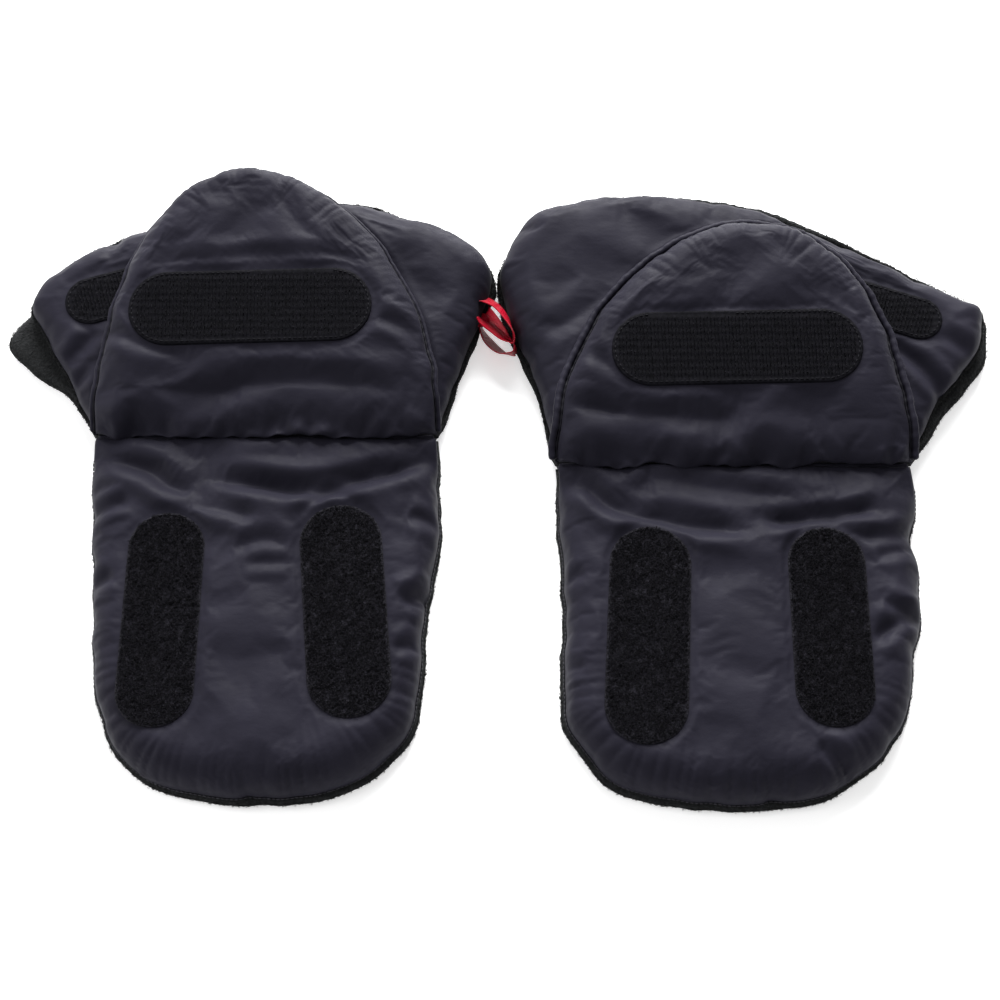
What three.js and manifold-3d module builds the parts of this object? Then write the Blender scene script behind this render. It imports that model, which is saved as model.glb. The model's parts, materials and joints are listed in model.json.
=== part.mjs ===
// A pair of padded flip-top mitts, laid open on a table with their fastening side up.
//
// Each mitt has three padded panels that meet along one straight fold. Behind the fold lies a flat
// hand pocket, open at its outer end. The flip top, an arched pad with a hook patch, folds forward
// from the fold. The cuff flap, a U-shaped pad with two loop patches, lies in front of it and folds
// up to meet the flip top. A ribbon loop is sewn to the left mitt. The two mitts mirror each other,
// but each lies in its own way, so each has its own measures.
//
// Millimetres. X runs along the fold, Y away from the wearer, Z up. Inside a mitt, x counts from the
// middle of the fold, positive towards the other mitt, and y counts from the fold.

import * as THREE from "three";
import { mergeVertices } from "three/addons/utils/BufferGeometryUtils.js";
import Module from "manifold-3d";

const wasm = await Module();
wasm.setup();

// ---- Driving dimensions -------------------------------------------------------------------------

const GAP = 0.3; // air between two pieces that touch
const SKIN = 1.5; // outer cloth and its stitching
const FLEECE = 2; // fleece lining
const HINGE_HEIGHT = 24; // the fold line above the table
const FOLD_GAP = 1.5; // from the fold line to each panel
const SLOPE = 4.5; // degrees that the pocket's top and the flip top rise behind the fold
const FRONT_SLOPE = 29; // steepest line from the fold line to the flip top's face, degrees

const BACK_HEIGHT = 8.4; // the back pad under the hand
const PALM_PAD = 6.5; // the pad over the hand, without its lining
const TOP_HEIGHT = 16; // the flip top, from its underside to its face
const FLAP_HEIGHT = 21.8; // the cuff flap's face above the table
const SEAM_HEIGHT = 5; // from the underside of a flap to its edge seam
const CROWN_SPREAD = 1.1; // how far a padded edge rounds inwards, for each millimetre that it falls

const PATCH_WIDTH = 39; // hook tape and loop tape, unless a patch says otherwise
const PATCH_THICKNESS = 1.5;
const PATCH_ROOM = 2 * GAP + PATCH_THICKNESS + 0.2; // between the pocket and the flip top
const PIPING = 3; // diameter of the piping round the flip top
const MOUTH = { low: 44, high: 94 }; // the pocket's open end, at its outer side

// How far each edge rounds inwards, in millimetres of height: crown above its seam, keel below.
const BACK_EDGE = { crown: 4, keel: 4 };
const TOP_EDGE = { crown: 11, keel: 4 };
const FLAP_EDGE = { crown: 14, keel: 4 };
const PALM_CROWN = 6;
const LINING_CROWN = 2;

const POCKET_STEPS = 26; // straight pieces in the pocket's outline
const ARCH_STEPS = 22; // and in the flip top's
const PIPING_STEPS = 30; // and along the piping
const PIPING_FROM = 6; // degrees round the arch where the piping starts and, from the other end, stops

const RIBBON = {
  width: 9, thickness: 1.2, length: 30, across: 11, // the loop lies flat, its ribbon on edge
  at: [2.5, 95], // where it is sewn in, in the pair's own X and Y, before centring
  heading: 16, // degrees that the loop is turned from Y
  height: 6, // of its lower edge above the table
};

const LEFT = {
  name: "left",
  inward: 1,
  foldAt: [-119, 36],
  halfWidth: 87.5,
  palmEdge: [[-94, 28], [-128, 78], [-117, 103], [-69, 127], [-10, 140], [39, 139], [100, 120],
    [116, 103], [114, 76], [97, 36]],
  backEdge: [[-104, 32], [-139, 56], [-137, 78], [-118, 104], [-69, 129], [-10, 142], [39, 141],
    [101, 121], [117, 104], [115, 76], [97, 36]],
  top: { height: 149, lean: -13, patch: { x: -8.5, y: 61.5, length: 124, lean: 91.6 } },
  palmPatch: { x: -49, y: 88, length: 122, lean: 104, width: 30 },
  flap: { length: 188, halfWidth: 84, bend: 55 },
  loops: {
    outer: { x: -45.3, y: -100.5, length: 112, lean: 0 },
    inner: { x: 43.8, y: -96, length: 112, lean: 5.2 },
  },
};

const RIGHT = {
  name: "right",
  inward: -1,
  foldAt: [118, 20],
  halfWidth: 90,
  palmEdge: [[-103, 28], [-136, 80], [-135, 97], [-96, 119], [-60, 134], [-16, 154], [53, 162],
    [95, 157], [118, 113], [104, 70], [93, 30]],
  backEdge: [[-110, 30], [-140, 76], [-138, 99], [-96, 122], [-60, 137], [-16, 157], [53, 165],
    [97, 159], [119, 113], [105, 70], [93, 30]],
  top: { height: 133, lean: -13, patch: { x: -2.1, y: 54, length: 127, lean: 88.7 } },
  palmPatch: { x: -52, y: 95, length: 125, lean: 106, width: 27 },
  flap: { length: 175, halfWidth: 89, bend: 52 },
  loops: {
    outer: { x: -41.9, y: -88.4, length: 104, lean: 0.7 },
    inner: { x: 46.3, y: -92.5, length: 113, lean: 3.4 },
  },
};

// ---- Materials ----------------------------------------------------------------------------------

const nylon = () => new THREE.MeshStandardMaterial({ color: 0x33323b, roughness: 0.55, metalness: 0 });
const fleece = () => new THREE.MeshStandardMaterial({ color: 0x1e2122, roughness: 0.95, metalness: 0 });
const wadding = () => new THREE.MeshStandardMaterial({ color: 0xe8e8e4, roughness: 1, metalness: 0 });
const loopTape = () => new THREE.MeshStandardMaterial({ color: 0x19181d, roughness: 0.95, metalness: 0 });
const hookTape = () => new THREE.MeshStandardMaterial({ color: 0x1c1b20, roughness: 0.6, metalness: 0 });
const cord = () => new THREE.MeshStandardMaterial({ color: 0x2a2930, roughness: 0.6, metalness: 0 });
const satin = () => new THREE.MeshStandardMaterial({ color: 0xb4243a, roughness: 0.35, metalness: 0 });

// ---- Solids -------------------------------------------------------------------------------------

function solid(geometry) {
  const bare = geometry.clone();
  bare.deleteAttribute("normal");
  bare.deleteAttribute("uv");
  const merged = mergeVertices(bare, 1e-4);
  const mesh = new wasm.Mesh({
    numProp: 3,
    vertProperties: new Float32Array(merged.attributes.position.array),
    triVerts: new Uint32Array(merged.index.array),
  });
  return new wasm.Manifold(mesh);
}

function geometryOf(body) {
  const mesh = body.getMesh();
  const geometry = new THREE.BufferGeometry();
  geometry.setAttribute("position", new THREE.BufferAttribute(mesh.vertProperties, 3));
  geometry.setIndex(new THREE.BufferAttribute(mesh.triVerts, 1));
  const flat = geometry.toNonIndexed();
  flat.computeVertexNormals();
  return flat;
}

// An extruded outline from low to high. Its rim rounds in over `round` mm at both ends.
function rounded(shape, low, high, inset, round) {
  const geometry = new THREE.ExtrudeGeometry(shape, {
    depth: high - low - 2 * round,
    curveSegments: 8,
    bevelEnabled: true,
    bevelThickness: round,
    bevelSize: round * CROWN_SPREAD,
    bevelOffset: -round * CROWN_SPREAD - inset,
    bevelSegments: round > 3 ? 2 : 1,
  });
  geometry.translate(0, 0, low + round);
  return geometry;
}

// A padded panel: flat on top and below, rounded by `crown` at its upper rim and `keel` at its lower.
function panel(shape, { low, high, inset = 0, crown = 1, keel = 1, tilt = 0 }) {
  const deep = 2 * (crown + keel);
  const upper = rounded(shape, low - deep, high, inset, crown);
  const lower = rounded(shape, low, high + deep, inset, keel);
  for (const half of [upper, lower]) {
    half.rotateX(THREE.MathUtils.degToRad(tilt));
  }
  return solid(upper).intersect(solid(lower));
}

const BIG = 800;

// Everything on one side of a plane through the line (y, z) that rises by `angle` degrees.
function space(y, z, angle, side) {
  const box = new THREE.BoxGeometry(BIG, BIG, BIG);
  box.translate(0, 0, (side * BIG) / 2);
  box.rotateX(THREE.MathUtils.degToRad(angle));
  box.translate(0, y, z);
  return solid(box);
}

const above = (z) => space(0, z, 0, 1);
const below = (z) => space(0, z, 0, -1);

function block(x0, x1, y0, y1, z0, z1) {
  const box = new THREE.BoxGeometry(x1 - x0, y1 - y0, z1 - z0);
  box.translate((x0 + x1) / 2, (y0 + y1) / 2, (z0 + z1) / 2);
  return solid(box);
}

function place(name, body, material) {
  const mesh = new THREE.Mesh(geometryOf(body), material);
  mesh.name = name;
  return mesh;
}

// ---- Outlines -----------------------------------------------------------------------------------

// The pocket: the straight fold, then one smooth edge round the listed points.
function pocketShape(mitt, edge) {
  const start = [-mitt.halfWidth, FOLD_GAP];
  const end = [mitt.halfWidth, FOLD_GAP];
  const points = [start, ...edge, end].map(([x, y]) => new THREE.Vector2(mitt.inward * x, y));
  return new THREE.Shape(new THREE.SplineCurve(points).getSpacedPoints(POCKET_STEPS));
}

// The flip top's arch is half an ellipse whose middle leans outwards as it rises.
function archPoint(mitt, turn, grow) {
  const { height, lean } = mitt.top;
  const rise = Math.sin(turn);
  const x = (mitt.halfWidth + grow) * Math.cos(turn) + lean * rise ** 2;
  return new THREE.Vector2(mitt.inward * x, FOLD_GAP + (height - FOLD_GAP + grow) * rise);
}

function archShape(mitt) {
  const points = [];
  for (let i = 0; i <= ARCH_STEPS; i++) {
    points.push(archPoint(mitt, (Math.PI * i) / ARCH_STEPS, 0));
  }
  return new THREE.Shape(points);
}

// The cuff flap: straight sides that draw in a little, closed by half an ellipse.
function flapShape(mitt) {
  const { length, halfWidth, bend } = mitt.flap;
  const shape = new THREE.Shape();
  shape.moveTo(mitt.halfWidth, -FOLD_GAP);
  shape.lineTo(-mitt.halfWidth, -FOLD_GAP);
  shape.lineTo(-halfWidth, bend - length);
  shape.absellipse(0, bend - length, halfWidth, bend, Math.PI, 2 * Math.PI, false);
  return shape;
}

// A strip of tape with round ends.
function tapeShape(length, width) {
  const radius = width / 2;
  const half = length / 2 - radius;
  const shape = new THREE.Shape();
  shape.absarc(0, half, radius, 0, Math.PI, false);
  shape.absarc(0, -half, radius, Math.PI, 2 * Math.PI, false);
  return shape;
}

function patch(mitt, tape, face, tilt) {
  const geometry = new THREE.ExtrudeGeometry(tapeShape(tape.length, tape.width ?? PATCH_WIDTH), {
    depth: PATCH_THICKNESS,
    bevelEnabled: false,
    curveSegments: 5,
  });
  geometry.rotateZ(THREE.MathUtils.degToRad(mitt.inward * tape.lean));
  geometry.translate(mitt.inward * tape.x, tape.y, face + GAP);
  geometry.rotateX(THREE.MathUtils.degToRad(tilt));
  return solid(geometry);
}

// ---- A mitt's panels ----------------------------------------------------------------------------

// A flat pad in three pieces: an upper skin and a lower skin that meet at the seam, round wadding.
function padding(shape, { low, seam, high, crown, keel, lowerSkin, upperSkin }) {
  const outer = panel(shape, { low, high, crown, keel });
  const hollow = panel(shape, {
    low: low + lowerSkin, high: high - upperSkin, inset: SKIN, crown: crown - 1, keel: keel - 1,
  });
  const fill = panel(shape, {
    low: low + lowerSkin + GAP, high: high - upperSkin - GAP, inset: SKIN + GAP,
    crown: crown - 1, keel: keel - 1,
  });
  return {
    lower: outer.subtract(hollow).subtract(above(seam - GAP / 2)),
    upper: outer.subtract(hollow).subtract(below(seam + GAP / 2)),
    fill,
  };
}

function backPanel(mitt) {
  const pad = padding(pocketShape(mitt, mitt.backEdge), {
    low: 0, seam: BACK_HEIGHT / 2, high: BACK_HEIGHT, ...BACK_EDGE, lowerSkin: SKIN, upperSkin: FLEECE,
  });
  return [
    place(`${mitt.name}_back_shell`, pad.lower, nylon()),
    place(`${mitt.name}_back_padding`, pad.fill, wadding()),
    place(`${mitt.name}_back_fleece`, pad.upper, fleece()),
  ];
}

// The pocket's front lies over the hand like a shallow tray turned upside down, open at the mouth.
function palmPanel(mitt) {
  const shape = pocketShape(mitt, mitt.palmEdge);
  const top = HINGE_HEIGHT - PATCH_ROOM;
  const table = below(BACK_HEIGHT + GAP);
  const layer = (sunk, crown) => {
    const body = panel(shape, { low: -30, high: -sunk, inset: sunk, crown, tilt: SLOPE });
    return body.translate([0, 0, top]).subtract(table);
  };
  const mouth = (grow) => {
    const ends = [0, -mitt.inward * BIG].sort((a, b) => a - b);
    const slot = block(ends[0], ends[1], MOUTH.low - grow, MOUTH.high + grow, 0, BIG);
    return slot.intersect(space(0, top - PALM_PAD - FLEECE + grow, SLOPE, -1));
  };
  const hand = layer(PALM_PAD + FLEECE, LINING_CROWN).add(mouth(0));
  const lined = layer(PALM_PAD, LINING_CROWN).add(mouth(FLEECE));
  const linedAndGap = layer(PALM_PAD - GAP, LINING_CROWN).add(mouth(FLEECE + GAP));
  const inside = layer(SKIN + GAP, PALM_CROWN - 1);
  const skin = layer(0, PALM_CROWN).subtract(layer(SKIN, PALM_CROWN - 1));
  const hooks = patch(mitt, mitt.palmPatch, 0, SLOPE).translate([0, 0, top]);
  return [
    place(`${mitt.name}_palm_shell`, skin.subtract(mouth(0)), nylon()),
    place(`${mitt.name}_palm_padding`, inside.subtract(linedAndGap), wadding()),
    place(`${mitt.name}_palm_fleece`, inside.intersect(lined).subtract(hand), fleece()),
    place(`${mitt.name}_palm_hook_patch`, hooks, hookTape()),
  ];
}

// The flip top rises from the fold at the pocket's slope, and its face comes down to the fold in front.
function flipTop(mitt) {
  const shape = archShape(mitt);
  const lift = HINGE_HEIGHT + 0.1;
  const wedge = (sunk) => space(0, HINGE_HEIGHT - sunk, FRONT_SLOPE, 1);
  const pad = padding(shape, {
    low: 0, seam: SEAM_HEIGHT, high: TOP_HEIGHT, ...TOP_EDGE, lowerSkin: SKIN, upperSkin: SKIN,
  });
  const lean = (body) => body.rotate([SLOPE, 0, 0]).translate([0, 0, lift]);
  const hooks = patch(mitt, mitt.top.patch, TOP_HEIGHT, SLOPE).translate([0, 0, lift]);
  return [
    place(`${mitt.name}_flip_top_shell`, lean(pad.upper).subtract(wedge(0)), nylon()),
    place(`${mitt.name}_flip_top_padding`, lean(pad.fill).subtract(wedge(SKIN + GAP)), wadding()),
    place(`${mitt.name}_flip_top_lining`, lean(pad.lower).subtract(wedge(0)), nylon()),
    place(`${mitt.name}_flip_top_hook_patch`, hooks, hookTape()),
    place(`${mitt.name}_flip_top_piping`, piping(mitt).translate([0, 0, lift]), cord()),
  ];
}

// A round cord sewn along the arch, just outside the pad's seam.
function piping(mitt) {
  const radius = PIPING / 2;
  const points = [];
  for (let i = 0; i <= PIPING_STEPS; i++) {
    const along = i / PIPING_STEPS;
    const turn = THREE.MathUtils.degToRad(THREE.MathUtils.lerp(PIPING_FROM, 180 - PIPING_FROM, along));
    const { x, y } = archPoint(mitt, turn, radius + GAP);
    points.push(new THREE.Vector3(x, y, SEAM_HEIGHT));
  }
  const section = new THREE.Shape().absarc(0, 0, radius, 0, 2 * Math.PI, false);
  const geometry = new THREE.ExtrudeGeometry(section, {
    steps: PIPING_STEPS, curveSegments: 4, bevelEnabled: false,
    extrudePath: new THREE.CatmullRomCurve3(points),
  });
  geometry.rotateX(THREE.MathUtils.degToRad(SLOPE));
  return solid(geometry);
}

function cuffFlap(mitt) {
  const pad = padding(flapShape(mitt), {
    low: 0, seam: SEAM_HEIGHT, high: FLAP_HEIGHT, ...FLAP_EDGE, lowerSkin: FLEECE, upperSkin: SKIN,
  });
  const loop = (which) => patch(mitt, mitt.loops[which], FLAP_HEIGHT, 0);
  return [
    place(`${mitt.name}_cuff_flap_shell`, pad.upper, nylon()),
    place(`${mitt.name}_cuff_flap_padding`, pad.fill, wadding()),
    place(`${mitt.name}_cuff_flap_fleece`, pad.lower, fleece()),
    place(`${mitt.name}_cuff_flap_outer_loop_patch`, loop("outer"), loopTape()),
    place(`${mitt.name}_cuff_flap_inner_loop_patch`, loop("inner"), loopTape()),
  ];
}

function makeMitt(mitt) {
  const group = new THREE.Group();
  group.add(...backPanel(mitt), ...palmPanel(mitt), ...flipTop(mitt), ...cuffFlap(mitt));
  group.position.set(...mitt.foldAt, 0);
  return group;
}

// ---- The ribbon loop ----------------------------------------------------------------------------

// A ribbon folded double, sewn into the pocket's closed end. It stands on its edge.
function ribbonLoop() {
  const { width, thickness, length, across, at, heading, height } = RIBBON;
  const geometry = new THREE.ExtrudeGeometry(ringShape(length, across, thickness), {
    depth: width, bevelEnabled: false, curveSegments: 5,
  });
  geometry.rotateZ(THREE.MathUtils.degToRad(heading));
  geometry.translate(...at, height);
  return place("left_ribbon_loop", solid(geometry), satin());
}

// A stadium with a stadium cut out of it, from the seam at y = 0 to the far bend at y = length.
function ringShape(length, across, thickness) {
  const shape = tapeShape(length, across);
  const hole = tapeShape(length - 2 * thickness, across - 2 * thickness);
  shape.holes.push(new THREE.Path(hole.getPoints(5)));
  return shape;
}

const pair = new THREE.Group();
pair.add(makeMitt(LEFT), makeMitt(RIGHT), ribbonLoop());

// The pair's origin is the middle of its bounding box, on the table.
const box = new THREE.Box3().setFromObject(pair);
const middle = box.getCenter(new THREE.Vector3());
pair.position.set(-middle.x, -middle.y, -box.min.z);

const model = new THREE.Group();
model.add(pair);

export default model;
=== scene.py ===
# %% [markdown]
# # A pair of padded flip-top mitts, laid open
#
# The imported CAD model is the frame: it says where every panel, patch and fold is. This script
# dresses it. Each padded panel is a pillow with a nylon front that is worked out on a grid and then
# blown up as cloth, so that its small wrinkles come from the cloth itself. Fleece, hook tape, loop
# tape, piping, stitches and a ribbon are added on top. Loading the frame comes first, because every
# piece but the ribbon rides on one of its bodies.

# %% Load the frame
import json
import math
import bmesh
import bpy
import numpy as np
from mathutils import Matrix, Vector


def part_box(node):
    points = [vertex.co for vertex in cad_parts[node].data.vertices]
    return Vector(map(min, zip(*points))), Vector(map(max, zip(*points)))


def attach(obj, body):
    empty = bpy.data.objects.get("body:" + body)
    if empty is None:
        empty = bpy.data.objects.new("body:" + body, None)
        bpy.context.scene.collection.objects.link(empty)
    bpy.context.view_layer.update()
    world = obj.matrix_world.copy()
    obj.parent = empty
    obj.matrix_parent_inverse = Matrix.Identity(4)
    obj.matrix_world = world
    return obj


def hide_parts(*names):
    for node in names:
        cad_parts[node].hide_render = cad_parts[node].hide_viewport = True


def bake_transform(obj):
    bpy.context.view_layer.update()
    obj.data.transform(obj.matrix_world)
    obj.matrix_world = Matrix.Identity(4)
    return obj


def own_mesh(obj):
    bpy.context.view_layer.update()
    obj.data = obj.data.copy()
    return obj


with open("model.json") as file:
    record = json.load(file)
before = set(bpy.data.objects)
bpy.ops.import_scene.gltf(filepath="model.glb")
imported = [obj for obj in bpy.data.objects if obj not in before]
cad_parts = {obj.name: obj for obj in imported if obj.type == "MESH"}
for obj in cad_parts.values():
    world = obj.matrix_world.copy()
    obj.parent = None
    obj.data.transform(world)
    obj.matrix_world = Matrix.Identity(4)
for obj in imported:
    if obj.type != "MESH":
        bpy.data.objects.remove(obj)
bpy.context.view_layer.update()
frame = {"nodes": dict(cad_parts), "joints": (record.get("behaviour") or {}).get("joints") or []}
MM = 0.001

# %% [markdown]
# ## The two mitts' own measures
#
# Both mitts share one pattern, mirrored, but each lies in its own way. Inside a mitt, x counts from
# the middle of the fold towards the other mitt, y counts from the fold, away from the wearer, and
# all of it is in millimetres. The fold line itself comes from the frame's hinge.
#
# palm, back and flap are outlines, from the fold's outer end round to its inner end. rim is how far
# the palm's nylon stops short of its fleece at the far edge, roll the radius of the fleece that is
# turned over there, and lip the radius of the flip top's piping. lean is how far the arch's middle
# leans outwards. A crease is a line, its depth and its width, and a notch is a place and its depth.
# A strip of tape is x, y, length, lean in degrees, and width.

# %% Measures
MITTS = {
    "left": {
        "side": 1,
        "palm": [(-101, 27), (-111, 45), (-123, 66), (-129, 80), (-121, 97), (-100, 113), (-69, 127),
                 (-10, 141), (42, 143), (70, 135), (95, 125), (110, 113), (116, 98), (112, 81), (104, 56),
                 (95, 31)],
        "back": [(-102, 26), (-118, 39), (-131, 49), (-139, 58), (-141, 66), (-136, 76), (-126, 86),
                 (-118, 103), (-69, 129), (-10, 143), (41, 144), (96, 127), (111, 114), (117, 98),
                 (112, 80), (95, 31)],
        "rim": 0.8,
        "roll": 1.3,
        "lip": 1.1,
        "flap": [(-88.5, -20), (-85.5, -55), (-82.5, -86), (-80, -117), (-76, -138), (-65, -164),
                 (-45, -180), (-18, -187.5), (8, -188.5), (32, -187), (53, -179), (70, -165),
                 (79, -149), (82.5, -125), (83, -100), (85.5, -80), (89.5, -58), (88.5, -24)],
        "lean": -13,
        "flap_creases": [
            ([(-52, -16), (-10, -24), (30, -24), (70, -15)], 1.9, 6.0),
            ([(-82, -12), (-57, -20), (-40, -32), (-7, -39)], 2.6, 3.2),
            ([(-38, -24), (-5, -27), (24, -31), (53, -24), (88, -12)], 2.8, 3.0),
            ([(-43, -40), (-25, -43), (-1, -47)], 1.6, 2.5),
            ([(-49, -11), (-8, -14), (32, -10)], 1.0, 3.0),
            ([(18, -48), (33, -34), (47, -37)], 1.6, 2.2),
            ([(-88, -44), (-65, -38)], 1.4, 2.0),
            ([(-88, -85), (-70, -77)], 1.8, 2.4),
            ([(73, -46), (90, -49)], 1.2, 2.2),
            ([(70, -92), (88, -84)], 2.0, 2.6),
            ([(67, -117), (84, -110)], 1.2, 2.2),
            ([(-12, -65), (3, -59), (15, -63)], 0.9, 2.4),
            ([(-7, -72), (16, -71)], 0.6, 2.0),
        ],
        "flap_notches": [(-86, 1.5), (0.5, 1.4), (88, 2.6)],
    },
    "right": {
        "side": -1,
        "palm": [(-101, 24), (-112, 42), (-128, 61), (-136, 79), (-135, 95), (-111, 108), (-84, 124),
                 (-55, 139), (-30, 151), (0, 159), (52, 164), (80, 160), (102, 151), (114, 132),
                 (119, 112), (112, 82), (99, 49), (95, 28)],
        "back": [(-105, 24), (-118, 42), (-134, 61), (-140, 78), (-138, 97), (-111, 112), (-84, 128),
                 (-53, 143), (-28, 155), (0, 162), (52, 166), (81, 162), (103, 152), (115, 132),
                 (120, 112), (113, 82), (99, 49), (95, 28)],
        "rim": 1.2,
        "roll": 2.6,
        "lip": 1.8,
        "flap": [(-92.5, -18), (-88.5, -38), (-90.5, -55), (-89, -84), (-84, -101), (-81.5, -120),
                 (-72.5, -140), (-60, -155), (-36, -170), (-10, -175), (20, -175), (49, -171),
                 (68, -162.5), (82, -144), (88.5, -129), (88.5, -100), (87, -78), (89, -35)],
        "lean": -13,
        "flap_creases": [
            ([(66, -10), (30, -25), (-6, -28), (-50, -24)], 1.9, 6.0),
            ([(90, -10), (74, -14), (59, -26), (29, -34), (3, -38), (-9, -43)], 2.8, 3.0),
            ([(55, -19), (39, -10), (9, -14), (-30, -19)], 1.4, 3.0),
            ([(-12, -33), (-38, -31), (-72, -26)], 2.4, 2.6),
            ([(-43, -35), (-69, -42), (-90, -37)], 1.6, 2.4),
            ([(-68, -77), (-90, -82)], 1.8, 2.2),
            ([(-60, -98), (-75, -86), (-90, -84)], 2.2, 2.6),
            ([(-66, -52), (-88, -46)], 1.2, 2.2),
            ([(92, -64), (76, -60)], 1.2, 2.2),
            ([(92, -106), (76, -110)], 1.0, 2.2),
            ([(-31, -149), (-46, -160)], 1.4, 2.6),
        ],
        "flap_notches": [(-84, 1.6), (-10, 1.2)],
    },
}
LOOPS = {
    "left": {"outer": (-45.3, -100.5, 112, 0, 37.5), "inner": (43.8, -96, 112, 5.2, 40.5)},
    "right": {"outer": (-41.9, -88.4, 104, 0.7, 38), "inner": (46.3, -92.5, 113, 3.4, 40)},
}
HOOKS = {
    "left": {"top": (-8.5, 61.5, 124, 91.6, 40), "palm": (-49, 90, 122, 107, 27)},
    "right": {"top": (-2.1, 54, 127, 88.7, 39.5), "palm": (-52, 97.5, 125, 109, 24)},
}
SLOPE = math.tan(math.radians(4.5))  # the flip top and the pocket rise away from the fold

for name, mitt in MITTS.items():
    joint = next(j for j in frame["joints"] if j["name"] == f"{name}_flip_top_fold")
    mitt["name"] = name
    mitt["fold"] = np.array(joint["pos_m"]) / MM
    low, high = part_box(f"{name}_cuff_flap_fleece")
    mitt["half"] = (high.x - low.x) / 2 / MM
    mitt["flap_length"] = mitt["fold"][1] - low.y / MM
    low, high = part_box(f"{name}_flip_top_lining")
    mitt["top_length"] = high.y / MM - mitt["fold"][1]
    mitt["rng"] = np.random.default_rng(7 if name == "left" else 11)
    print(name, "fold at", mitt["fold"].round(1), "half width", round(mitt["half"], 1))


def to_world(mitt, points):
    """World metres = fold point + (side * x, y, height), all times a thousandth."""
    x0, y0, _ = mitt["fold"]
    points = np.asarray(points, float)
    return np.stack([x0 + mitt["side"] * points[:, 0], y0 + points[:, 1], points[:, 2]], 1) * MM


# %% [markdown]
# ## Grids, outlines and meshes
#
# A sewn panel has four edges: the fold, the two sides and the far edge. A Coons patch blends those
# four edges into one even grid, which is kinder to cloth than a fan of triangles round a middle.

# %% Meshes from arrays
def make_mesh(name, points, faces):
    """A smooth mesh object from arrays: points in metres, faces as rows of equal length."""
    mesh = bpy.data.meshes.new(name)
    faces = np.asarray(faces, np.int32)
    mesh.vertices.add(len(points))
    mesh.vertices.foreach_set("co", np.asarray(points, np.float32).ravel())
    mesh.loops.add(faces.size)
    mesh.loops.foreach_set("vertex_index", faces.ravel())
    mesh.polygons.add(len(faces))
    mesh.polygons.foreach_set("loop_start", np.arange(0, faces.size, faces.shape[1], dtype=np.int32))
    mesh.polygons.foreach_set("use_smooth", np.ones(len(faces), bool))
    mesh.update(calc_edges=True)
    mesh.validate()
    obj = bpy.data.objects.new(name, mesh)
    bpy.context.scene.collection.objects.link(obj)
    return obj


def quads(rows, cols, wrap=False):
    """The faces of a grid of rows by cols points, counted row by row; wrap joins last to first."""
    row = np.arange(rows - 1)[:, None] * cols
    here = np.arange(cols if wrap else cols - 1)[None, :]
    right = (here + 1) % cols
    corners = [row + here, row + right, row + cols + right, row + cols + here]
    return np.stack(corners, -1).reshape(-1, 4)


# %% Curves
def resample(points, count):
    """The polyline again with count points, evenly spaced along its length."""
    points = np.asarray(points, float)
    run = np.concatenate([[0], np.cumsum(np.linalg.norm(np.diff(points, axis=0), axis=1))])
    at = np.linspace(0, run[-1], count)
    return np.stack([np.interp(at, run, points[:, k]) for k in range(points.shape[1])], 1)


def catmull_rom(points, per_span=24):
    """A smooth curve through every point: on each span, a cubic whose end slopes are half the
    difference of the neighbouring points."""
    p = np.asarray(points, float)
    p = np.vstack([2 * p[0] - p[1], p, 2 * p[-1] - p[-2]])
    t = np.linspace(0, 1, per_span, endpoint=False)[None, :, None]
    a, b, c, d = (p[i:len(p) - 3 + i][:, None, :] for i in range(4))
    curve = 0.5 * (2 * b + (c - a) * t + (2 * a - 5 * b + 4 * c - d) * t**2
                   + (3 * b - a - 3 * c + d) * t**3)
    return np.vstack([curve.reshape(-1, p.shape[1]), p[-2]])


# %% Grid between four edges
OUTLINE_STEPS = 2000
RING_STEPS = 900


def coons(outline, corners, n):
    """The grid between four edges: (1-v) fold + v far + (1-u) outer + u inner, less the corners'
    own blend. The outline runs from the fold's outer end round to its inner end."""
    dense = resample(outline, OUTLINE_STEPS)
    a, b = (int(c * (OUTLINE_STEPS - 1)) for c in corners)
    outer = resample(dense[:a + 1], n)
    far = resample(dense[a:b + 1], n)
    inner = resample(dense[b:], n)[::-1]
    fold = resample(np.array([dense[0], dense[-1]]), n)
    u = np.linspace(0, 1, n)[None, :, None]
    v = np.linspace(0, 1, n)[:, None, None]
    flat = (1 - v) * fold[None] + v * far[None] + (1 - u) * outer[:, None] + u * inner[:, None]
    bent = ((1 - u) * (1 - v) * fold[0] + u * (1 - v) * fold[-1]
            + (1 - u) * v * far[0] + u * v * far[-1])
    return (flat - bent).reshape(-1, 2)


def edge_of(points, outline):
    """For each point, its distance to the closed outline and how far along the outline that is."""
    ring = resample(np.vstack([outline, outline[:1]]), RING_STEPS)[:-1]
    gap = np.linalg.norm(points[:, None, :] - ring[None], axis=2)
    nearest = gap.argmin(1)
    length = np.linalg.norm(np.diff(ring, axis=0), axis=1).sum()
    return gap[np.arange(len(points)), nearest], nearest / len(ring) * length


# %% Shoulder and inset
def shoulder(distance, width):
    """A quarter circle: 0 at the edge, 1 from width inwards."""
    s = np.clip(distance / width, 0, 1)
    return np.sqrt(1 - (1 - s) ** 2)


def inset(outline, amount):
    """The outline moved inwards by amount, which may differ from point to point."""
    step = np.gradient(outline, axis=0)
    step /= np.linalg.norm(step, axis=1)[:, None] + 1e-9
    normal = np.stack([-step[:, 1], step[:, 0]], 1)
    middle = outline.mean(0)
    flip = np.sign(((middle - outline) * normal).sum(1).mean())
    return outline + flip * normal * np.broadcast_to(amount, len(outline))[:, None]


# %% [markdown]
# ## Outlines
#
# A sewn edge is never a clean curve, because its stitches gather the cloth. Each outline is a smooth
# curve through a few points, or a formula, pulled in and out a little by a smooth random run.

# %% Outlines
EDGE_POINTS = 500
ARCH_TURN = 2.2  # how much of the arch's length turns under at its tip


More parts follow.
